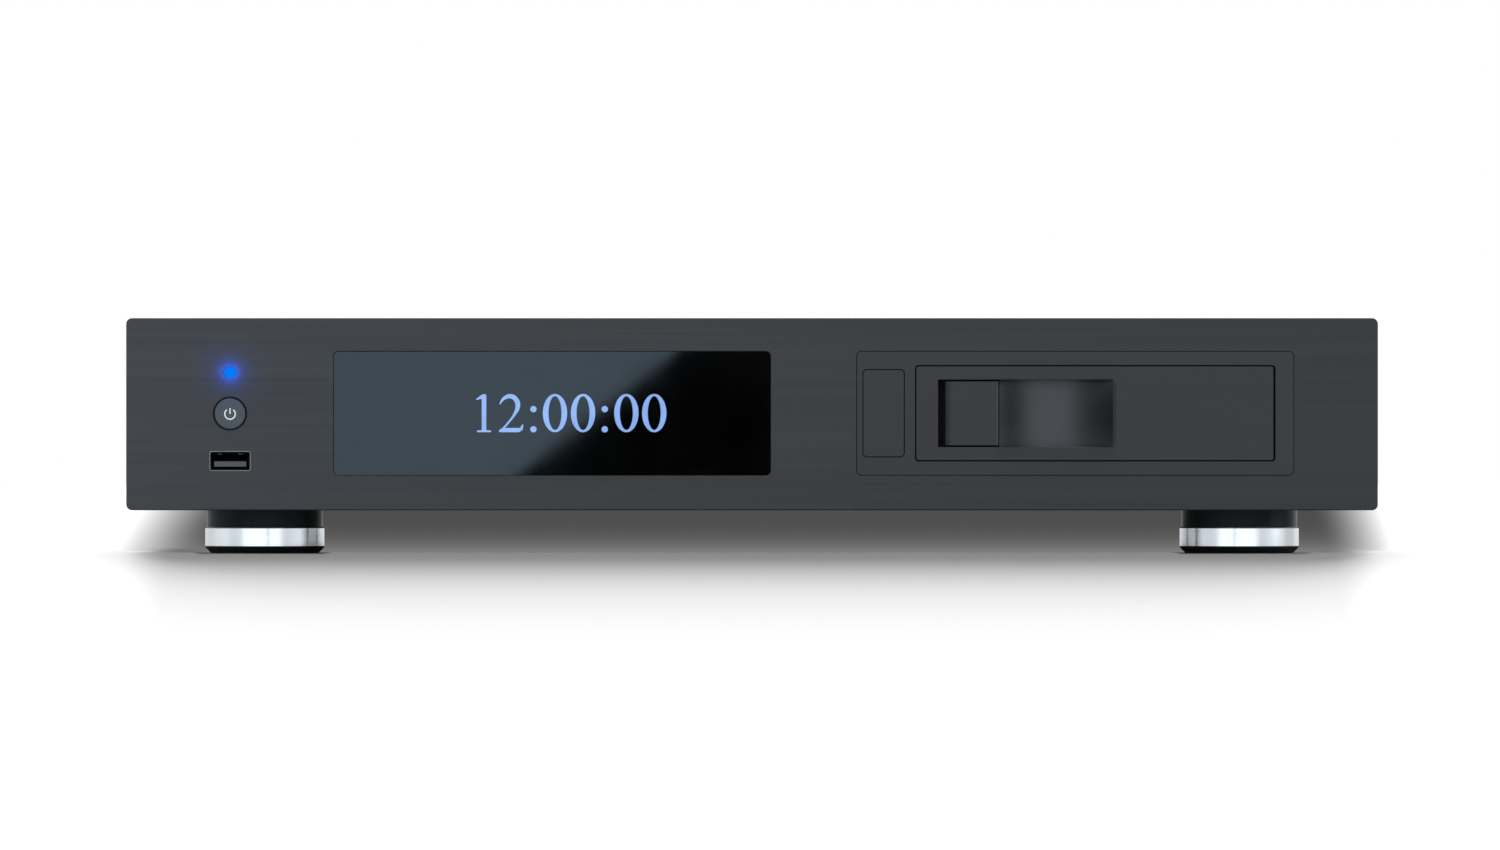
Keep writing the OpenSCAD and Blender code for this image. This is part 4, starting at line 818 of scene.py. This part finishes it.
class PLAYER_OT_rack(bpy.types.Operator):
    """Finishes the rack: bezel, button, door, latch, tray, cage and guides."""

    bl_idname = "player.rack"
    bl_label = "Rack"

    def execute(self, context):
        look = context.scene.player_rack
        edge = context.scene.player_case.edge_radius
        dress(["rack_bezel", "rack_button"], brushed_anodised("rack_grey", look.bezel, edge, 0.04, 0.46))
        low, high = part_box("door_latch")
        latch = brushed_anodised("latch_grey", look.door, edge, 0.04, 0.42)
        # Painted highlight: a strip about 0.55 mm wide at the latch plate's right edge is 2.6 times lighter
        # than the door's colour
        refinish(latch, (LATCH_RIGHT - 0.55 * MM, FACE_Y - 1 * MM, low.z - 1 * MM),
                 (LATCH_RIGHT + 1 * MM, FACE_Y + 2 * MM, high.z + 1 * MM), scaled(look.door, 2.6), 0.4, 0.5)
        # Painted shade: the latch plate darkens to 12 % of its colour towards its left end, where the slot's
        # wall shades it
        shade_start, shade_end = LATCH_RIGHT - 18.6 * MM, LATCH_RIGHT - 15.9 * MM
        dress(["door_latch"], paint_light_and_shade_across(latch, shade_start, shade_end, (0.12, 0.12, 0.12), (1, 1, 1)))
        door = brushed_anodised("door_grey", look.door, edge, 0.04, 0.42)
        # Painted shade: in the slot round the latch, more than 0.4 mm behind the face, the door is near black
        # and matt
        shaded_slot_low = (low.x - 4 * MM, FACE_Y + 0.4 * MM, low.z - 2 * MM)
        shaded_slot_high = (LATCH_RIGHT + 0.45 * MM, FACE_Y + 6 * MM, high.z + 2 * MM)
        refinish(door, shaded_slot_low, shaded_slot_high, (0.0015, 0.0015, 0.0017), 0.9, 0.0)
        # Painted light and a real finish: the finger scoop's colour is 1.75 times lighter than the door's,
        # and it is glossier and more metal
        lit_scoop_low = (LATCH_RIGHT + 0.45 * MM, FACE_Y + 0.2 * MM, low.z - 2 * MM)
        lit_scoop_high = (SCOOP_RIGHT, FACE_Y + 20 * MM, high.z + 2 * MM)
        refinish(door, lit_scoop_low, lit_scoop_high, scaled(look.door, 1.75), 0.34, 0.9)
        dress(["tray_door"], door)
        dress(["drive_tray"], satin_plastic("tray_charcoal", look.tray, edge))
        dress(["rack_guides"], satin_plastic("guide_black", (0.012, 0.012, 0.012)))
        dress(["rack_cage"], zinc_sheet("cage_zinc", context.scene.player_case.sheet))
        dress(["latch_keeper", "latch_spring"], plated_steel("blued_spring_steel", (0.035, 0.037, 0.045)))
        return {"FINISHED"}


class PLAYER_OT_electronics(bpy.types.Operator):
    """Finishes the boards, the power supply and the wiring inside the case."""

    bl_idname = "player.electronics"
    bl_label = "Electronics"

    def execute(self, context):
        dress(["front_board", "rack_board", "backplane_board", "main_board", "power_board"],
              circuit_board("solder_mask"))
        dress(["heat_sink"], plated_steel("extruded_fins", (0.68, 0.69, 0.71), 0.36))
        dress(["transformer"], taped_winding("winding_tape", (0.45, 0.3, 0.04)))
        dress(["smoothing_capacitors"], satin_plastic("capacitor_sleeve", (0.01, 0.02, 0.08), 0.0, 0.25))
        dress(["board_standoffs"], plated_steel("brass", (0.75, 0.55, 0.2)))
        dress(["push_switches", "drive_connector"], satin_plastic("switch_black", (0.012, 0.012, 0.012)))
        dress(["ribbon_cable"], satin_plastic("ribbon_grey", (0.45, 0.45, 0.46)))
        dress(["data_cable"], satin_plastic("cable_red", (0.3, 0.01, 0.01)))
        dress(["mains_wires"], satin_plastic("wire_brown", (0.12, 0.04, 0.015)))
        return {"FINISHED"}


class PLAYER_OT_sockets(bpy.types.Operator):
    """Finishes the sockets on the rear panel."""

    bl_idname = "player.sockets"
    bl_label = "Rear sockets"

    def execute(self, context):
        look = context.scene.player_sockets
        dress(["mains_inlet"], self.inlet())
        dress(["mains_switch"], satin_plastic("switch_frame", (0.012, 0.012, 0.013), 0.0002))
        dress(["mains_rocker"], satin_plastic("rocker_black", (0.02, 0.02, 0.021), 0.0003, 0.3))
        dress(["ethernet_socket"], plated_steel("network_steel", (0.6, 0.61, 0.62)))
        dress(["video_sockets"],
              self.with_tongues("video_steel", "video_sockets", look.video_width, (2.3, 3.5)))
        dress(["usb_rear_sockets"],
              self.with_tongues("usb_rear_steel", "usb_rear_sockets", 0.0, (2.7, 4.7), (9.0, 11.0)))
        dress(["phono_sockets"], plated_steel("gold_plate", (0.85, 0.6, 0.22), 0.2))
        self.phono_collars(look)
        self.network_contacts(look)
        return {"FINISHED"}

    def inlet(self):
        """Moulded black inlet, whose three pins are plated."""
        material = satin_plastic("inlet_black", (0.012, 0.012, 0.013), 0.0002)
        centre = middle("mains_inlet")
        for across, up in PIN_PLACES:
            x, z = centre.x + across, centre.z + up
            low, high = (x - PIN_WIDE, REAR_Y - PIN_DEPTH, z - PIN_TALL), (x + PIN_WIDE, REAR_Y, z + PIN_TALL)
            refinish(material, low, high, (0.62, 0.61, 0.58), 0.25, 1.0)
        return material

    def with_tongues(self, name, node, spread, *levels):
        """Plated shell whose tongues, at each level above its foot, are black plastic."""
        material = plated_steel(name, (0.6, 0.61, 0.62))
        low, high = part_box(node)
        mouths = [low.x + spread / 2, high.x - spread / 2] if spread else [(low.x + high.x) / 2]
        for x in mouths:
            for foot, top in levels:
                refinish(material, (x - TONGUE_HALF, low.y, low.z + foot * MM),
                         (x + TONGUE_HALF, high.y - TONGUE_BACK, low.z + top * MM),
                         (0.015, 0.015, 0.016), 0.5, 0.0)
        return material

    def phono_collars(self, look):
        """A coloured collar round the foot of each phono socket."""
        low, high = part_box("phono_sockets")
        places = np.linspace(low.x + COLLAR_INSET, high.x - COLLAR_INSET, 3)
        colours = {"yellow": look.collar_yellow, "white": look.collar_white, "red": look.collar_red}
        for place, (word, colour) in zip(places, colours.items()):
            ring = moved(collar(COLLAR_PROFILE), (place, REAR_Y, high.z - COLLAR_INSET))
            put_mesh(f"phono_collar_{word}", ring, "chassis",
                     satin_plastic(f"collar_{word}", colour, 0.0, 0.35))

    def network_contacts(self, look):
        """Sprung gold contacts that slant back from the mouth of the network socket."""
        low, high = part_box("ethernet_socket")
        wire = strap(CONTACT_PATH + np.array([high.y, high.z]), CONTACT_WIDTH, CONTACT_THICK)
        first = (low.x + high.x) / 2 - CONTACT_PITCH * (look.contacts - 1) / 2
        wires = merge([moved(wire, (first + CONTACT_PITCH * count, 0, 0)) for count in range(look.contacts)])
        put_mesh("network_contacts", wires, "chassis",
                 plated_steel("contact_gold", (0.85, 0.62, 0.25), 0.2))


# The studio's panels: compass angle seen from the player, 0 in front, 90 at its right, and brightness
PANELS = (
    (-180, 0.8), (-130, 0.5), (-95, 0.85), (-82, 0.85), (-62, 0.7), (-50, 0.74), (-36, 1.2), (26, 1.2),
    (42, 0.68), (72, 0.84), (92, 0.74), (104, 0.32), (124, 0.32), (142, 0.9), (180, 0.8),
)
PANEL_TINT = (1.01, 1.04, 1.075)
# The floor's ridge: its reach in front of the faceplate's front, behind it and to either side, and the
# lengths over which it dies away at its ends and round each foot
RIDGE_FRONT, RIDGE_BACK, RIDGE_SIDE, RIDGE_END, RIDGE_FOOT = 0.012, 0.018, 0.26, 0.03, 0.003
# The floor's slope: where it starts in front of the faceplate's front, and its length
SLOPE_START, SLOPE_LENGTH = 0.002, 1.6
# How late the shade under the case turns pale on its way down
SHADE_POWER = 3.6
# The window's cards: distance in front of it, margin round it, and foot and top of the slanting edge between
# them, from its left edge
CARD_AWAY, CARD_MARGIN, SPLIT_FOOT, SPLIT_TOP = 1.0, 8 * MM, 53 * MM, 128 * MM
# How far the finger scoop's left and right card stand out
SCOOP_LEFT_CARD, SCOOP_RIGHT_CARD = 38 * MM, 39 * MM
# A place in the middle of the player, which the lamps look at
LAMP_AIM = (0.0, 0.0, 0.04)
HALO_COLOUR = (0.0, 0.115, 1.0)
SENSOR_WIDTH = 36.0


class PLAYER_OT_stage(bpy.types.Operator):
    """Builds the pale floor, the studio cards, lamps, world and camera."""

    bl_idname = "player.stage"
    bl_label = "Stage"

    def execute(self, context):
        look = context.scene.player_stage
        scene = context.scene
        scene.view_settings.view_transform = "Standard"
        floor = self.floor(look)
        self.shade_card(look)
        self.window_cards(look, context.scene.player_display)
        self.scoop_cards()
        self.lamps(look, context.scene.player_controls, floor)
        self.world(scene, look)
        camera = bpy.data.cameras.new("front_camera")
        camera.sensor_width = SENSOR_WIDTH
        camera.lens = SENSOR_WIDTH * look.camera_distance / look.view_width
        camera.clip_end = 100.0
        holder = bpy.data.objects.new("front_camera", camera)
        holder.location = (look.look_right, FACE_Y - look.camera_distance, look.look_up)
        holder.rotation_euler = (math.pi / 2, 0.0, 0.0)
        scene.collection.objects.link(holder)
        scene.camera = holder
        return {"FINISHED"}

    def pale_material(self, look):
        """Matt pale grey that looks white to the camera in full light, so the shadows on it stay deep. Beside
        the player it looks brighter still, so the shadow under the case ends where its sides do."""
        material, tree = bare_material("pale_floor")
        seen = add_node(tree, "LightPath").outputs["Is Camera Ray"]
        wide = work_out(tree, "ABSOLUTE", object_axes(tree)[0])
        gain = remap(tree, wide, look.side_start, look.side_end, 1.0, look.side_gain,
                     interpolation_type="SMOOTHSTEP")
        pale = scaled(look.floor_colour, look.floor_shown)
        bright = add_node(tree, "VectorMath", {0: pale, "Scale": gain}, operation="SCALE").outputs[0]
        matt = add_node(tree, "BsdfDiffuse", {"Color": mixed(tree, seen, look.floor_colour, bright)})
        put_out(tree, matt)
        return material

    def floor(self, look):
        """The floor is flat under the feet and falls gently away in front: its height is the fall times the
        distance in front. A ridge as low as a sheet of card runs under the faceplate, between and beside the
        feet: its height is the product of smooth steps up from both sides and away from each front foot."""
        far = np.array([0.3, 0.4, 1.0, 3.0, 7.0])
        x = np.concatenate([-far[::-1], np.linspace(-0.26, 0.26, 261), far])
        near = FACE_Y + np.linspace(-0.03, 0.03, 31)
        x, y = np.meshgrid(x, np.concatenate([np.linspace(-7.0, -0.2, 30), near, [0.0, 0.3, 1.0, 3.0, 7.0]]))
        back = y - FACE_Y
        ridge = rise(back / RIDGE_FRONT + 1) * rise(1 - back / RIDGE_BACK)
        ridge *= rise((RIDGE_SIDE - np.abs(x)) / RIDGE_END)
        for number in FEET:
            low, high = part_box(f"foot_pad_{number}")
            ridge *= rise((np.abs(x - (low.x + high.x) / 2) - (high.x - low.x) / 2) / RIDGE_FOOT)
        z = look.floor_ridge * ridge - look.front_fall * np.clip(-back - SLOPE_START, 0.0, SLOPE_LENGTH)
        mesh = bpy.data.meshes.new("floor")
        points = np.stack([x, y, z], axis=2).reshape(-1, 3)
        mesh.from_pydata(points.tolist(), [], grid_faces(*x.shape).tolist())
        made = link_mesh("floor", mesh, self.pale_material(look), True)
        return made

    def card(self, name, corners, colour):
        """A studio card that only gloss sees, and only from its front: it shines with its own colour."""
        mesh = bpy.data.meshes.new(name)
        mesh.from_pydata(corners, [], [list(range(len(corners)))])
        material, tree = bare_material(name)
        lit = add_node(tree, "Emission", {"Color": (*colour, 1.0), "Strength": 1.0})
        clear = add_node(tree, "BsdfTransparent")
        side = add_node(tree, "NewGeometry").outputs["Backfacing"]
        put_out(tree, add_node(tree, "MixShader", {0: side, 1: lit.outputs[0], 2: clear.outputs[0]}))
        made = link_mesh(name, mesh, material)
        made.visible_camera = False
        made.visible_diffuse = False
        made.visible_shadow = False
        made.visible_transmission = False
        return made

    def shade_card(self, look):
        """The dark under the case as it looks from in front: a card behind the front feet that only the
        camera sees. Its shade turns from dark to pale by a power of the depth below its top. It thins out to
        both sides by the square of the distance out: sooner the higher it is, and sooner along its foot,
        where the floor has a shadow of its own."""
        y, top = FACE_Y + look.shade_back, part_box("bottom_pan")[0].z
        places = ((-1, 0.0), (1, 0.0), (1, top), (-1, top))
        made = self.card("shade_card", [(side * look.fade_end, y, z) for side, z in places], look.shade_dark)
        made.visible_camera, made.visible_glossy = True, False
        tree = made.data.materials[0].node_tree
        axes = object_axes(tree)
        below = remap(tree, axes[2], 0.0, top, 1.0, 0.0)
        dim = mixed(tree, work_out(tree, "POWER", below, SHADE_POWER), look.shade_dark, look.shade_pale)
        tree.links.new(dim, tree.nodes["Emission"].inputs["Color"])
        up = remap(tree, axes[2], 0.0, top)
        out = []
        ends = ((-1, look.fade_left, look.lean_left), (1, look.fade_right, look.lean_right))
        for side, start, lean in ends:
            across = remap(tree, axes[0], side * start, side * look.fade_end, clamp=False)
            out.append(work_out(tree, "MULTIPLY_ADD", up, lean, across))
        foot = remap(tree, axes[2], 0.0, look.foot_height, look.foot_fade, 0.0)
        total = work_out(tree, "ADD", work_out(tree, "MAXIMUM", *out), foot)
        held = remap(tree, total, 0.0, 1.0)
        thin = work_out(tree, "MULTIPLY", held, held)
        gone = work_out(tree, "MAXIMUM", tree.nodes["Geometry"].outputs["Backfacing"], thin)
        tree.links.new(gone, tree.nodes["Mix Shader"].inputs[0])

    def window_cards(self, look, display):
        """The slate card and the black card that the window mirrors, split by a slanting edge. They stand a
        metre in front, so each corner is carried out from the camera's axis as a mirror image is."""
        spread = 1 + CARD_AWAY / look.camera_distance
        across, up = look.look_right, look.look_up
        left, right = WINDOW_LOW.x - CARD_MARGIN, WINDOW_HIGH.x + CARD_MARGIN
        low, high = WINDOW_LOW.z - CARD_MARGIN, WINDOW_HIGH.z + CARD_MARGIN
        foot, top = WINDOW_LOW.x + SPLIT_FOOT, WINDOW_LOW.x + SPLIT_TOP
        for name, corners, colour in (
            ("slate_card", ((left, low), (left, high), (top, high), (foot, low)), display.slate),
            ("black_card", ((foot, low), (top, high), (right, high), (right, low)), (0, 0, 0)),
        ):
            self.card(name, [
                (across + (x - across) * spread, WINDOW_LOW.y - CARD_AWAY, up + (z - up) * spread)
                for x, z in corners
            ], colour)

    def scoop_cards(self):
        """Two black cards, as tall as the latch plate, that stand out from the ends of the finger scoop and
        darken its curve there."""
        near = FACE_Y - 0.3 * MM
        low, high = (corner.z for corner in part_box("door_latch"))
        for name, x, first, last in (
            ("scoop_card_left", LATCH_RIGHT - 1 * MM, FACE_Y - SCOOP_LEFT_CARD, near),
            ("scoop_card_right", SCOOP_RIGHT + 1 * MM, near, FACE_Y - SCOOP_RIGHT_CARD),
        ):
            self.card(name, [(x, first, low), (x, last, low), (x, last, high), (x, first, high)], (0, 0, 0))

    def lamp(self, name, kind, place, power):
        """A lamp that looks at the player."""
        lamp = bpy.data.lights.new(name, kind)
        lamp.energy = power
        holder = bpy.data.objects.new(name, lamp)
        holder.location = place
        holder.rotation_euler = (Vector(LAMP_AIM) - Vector(place)).to_track_quat("-Z", "Y").to_euler()
        bpy.context.scene.collection.objects.link(holder)
        return holder

    def lamps(self, look, controls, floor):
        """A broad key lamp above the front left, a rim lamp at the right, the status light's own glow, and a
        soft light from behind for the floor alone, which draws the shadow in front."""
        key = self.lamp("key_lamp", "AREA", (-0.9, -1.2, 1.1), look.key_power)
        key.data.size = 1.2
        rim = self.lamp("rim_lamp", "AREA", (1.5, -0.42, 0.35), look.rim_power)
        rim.data.size = 0.5
        spot = (LIGHT_MIDDLE.x, FACE_Y - 2 * MM, LIGHT_MIDDLE.z)
        halo = self.lamp("status_halo", "POINT", spot, controls.halo_power)
        halo.data.color = HALO_COLOUR
        halo.data.shadow_soft_size = 0.4 * MM
        halo.visible_glossy = False
        behind = self.lamp("floor_light", "SUN", (0.0, 0.7, 1.0), look.floor_light)
        behind.data.angle = math.radians(60)
        for holder, state in ((key, "EXCLUDE"), (rim, "EXCLUDE"), (halo, "EXCLUDE"), (behind, "INCLUDE")):
            takers = bpy.data.collections.new(holder.name + "_takers")
            takers.objects.link(floor)
            for taker in takers.collection_objects:
                taker.light_linking.link_state = state
            holder.light_linking.receiver_collection = takers

    def world(self, scene, look):
        """White to the camera, a ring of pale and darker panels to gloss, and plain light to all else.
        The panels are a ramp over the compass angle of a ray, from behind over left, front and right."""
        world = bpy.data.worlds.new("studio")
        scene.world = world
        world.use_nodes = True
        tree = world.node_tree
        tree.nodes.clear()
        way = add_node(tree, "TexCoord").outputs["Generated"]
        axes = add_node(tree, "SeparateXYZ", {"Vector": way}).outputs
        angle = work_out(tree, "ARCTAN2", axes[0], work_out(tree, "MULTIPLY", axes[1], -1.0))
        ramp = add_node(tree, "ValToRGB", {"Fac": remap(tree, angle, -math.pi, math.pi)})
        ramp.color_ramp.interpolation = "EASE"
        stops = ramp.color_ramp.elements
        for place, level in PANELS[1:-1]:
            stops.new(place / 360 + 0.5).color = (*scaled(PANEL_TINT, level), 1.0)
        for end in (0, -1):
            stops[end].color = (*scaled(PANEL_TINT, PANELS[end][1]), 1.0)
        path = add_node(tree, "LightPath")
        seen = work_out(tree, "MAXIMUM", path.outputs["Is Camera Ray"], path.outputs["Is Transmission Ray"])
        plain = remap(tree, seen, 0.0, 1.0, look.world_strength, 1.0)
        sky = mixed(tree, path.outputs["Is Glossy Ray"], plain, ramp.outputs["Color"])
        put_out(tree, add_node(tree, "Background", {"Color": sky}), "OutputWorld")


class PLAYER_PT_panel(bpy.types.Panel):
    """Lists the steps in the 3D view's sidebar."""

    bl_idname = "PLAYER_PT_panel"
    bl_label = "Media player"
    bl_space_type = "VIEW_3D"
    bl_region_type = "UI"
    bl_category = "Player"

    def draw(self, context):
        for step in STEPS:
            self.layout.operator(step.bl_idname)


SETTINGS = {
    "player_stage": StageSettings,
    "player_case": CaseSettings,
    "player_display": DisplaySettings,
    "player_controls": ControlSettings,
    "player_rack": RackSettings,
    "player_sockets": SocketSettings,
}
STEPS = (
    PLAYER_OT_case,
    PLAYER_OT_feet,
    PLAYER_OT_display,
    PLAYER_OT_controls,
    PLAYER_OT_rack,
    PLAYER_OT_electronics,
    PLAYER_OT_sockets,
    PLAYER_OT_stage,
)


def register():
    """Registers the settings, the steps and the panel."""
    for name, kind in SETTINGS.items():
        bpy.utils.register_class(kind)
        setattr(bpy.types.Scene, name, PointerProperty(type=kind))
    for step in (*STEPS, PLAYER_PT_panel):
        bpy.utils.register_class(step)


def unregister():
    """Takes all of it away again."""
    for step in (PLAYER_PT_panel, *reversed(STEPS)):
        bpy.utils.unregister_class(step)
    for name, kind in SETTINGS.items():
        delattr(bpy.types.Scene, name)
        bpy.utils.unregister_class(kind)


def main():
    """Runs every step in order."""
    register()
    for step in STEPS:
        group, name = step.bl_idname.split(".")
        getattr(getattr(bpy.ops, group), name)()


if __name__ == "__main__":
    main()
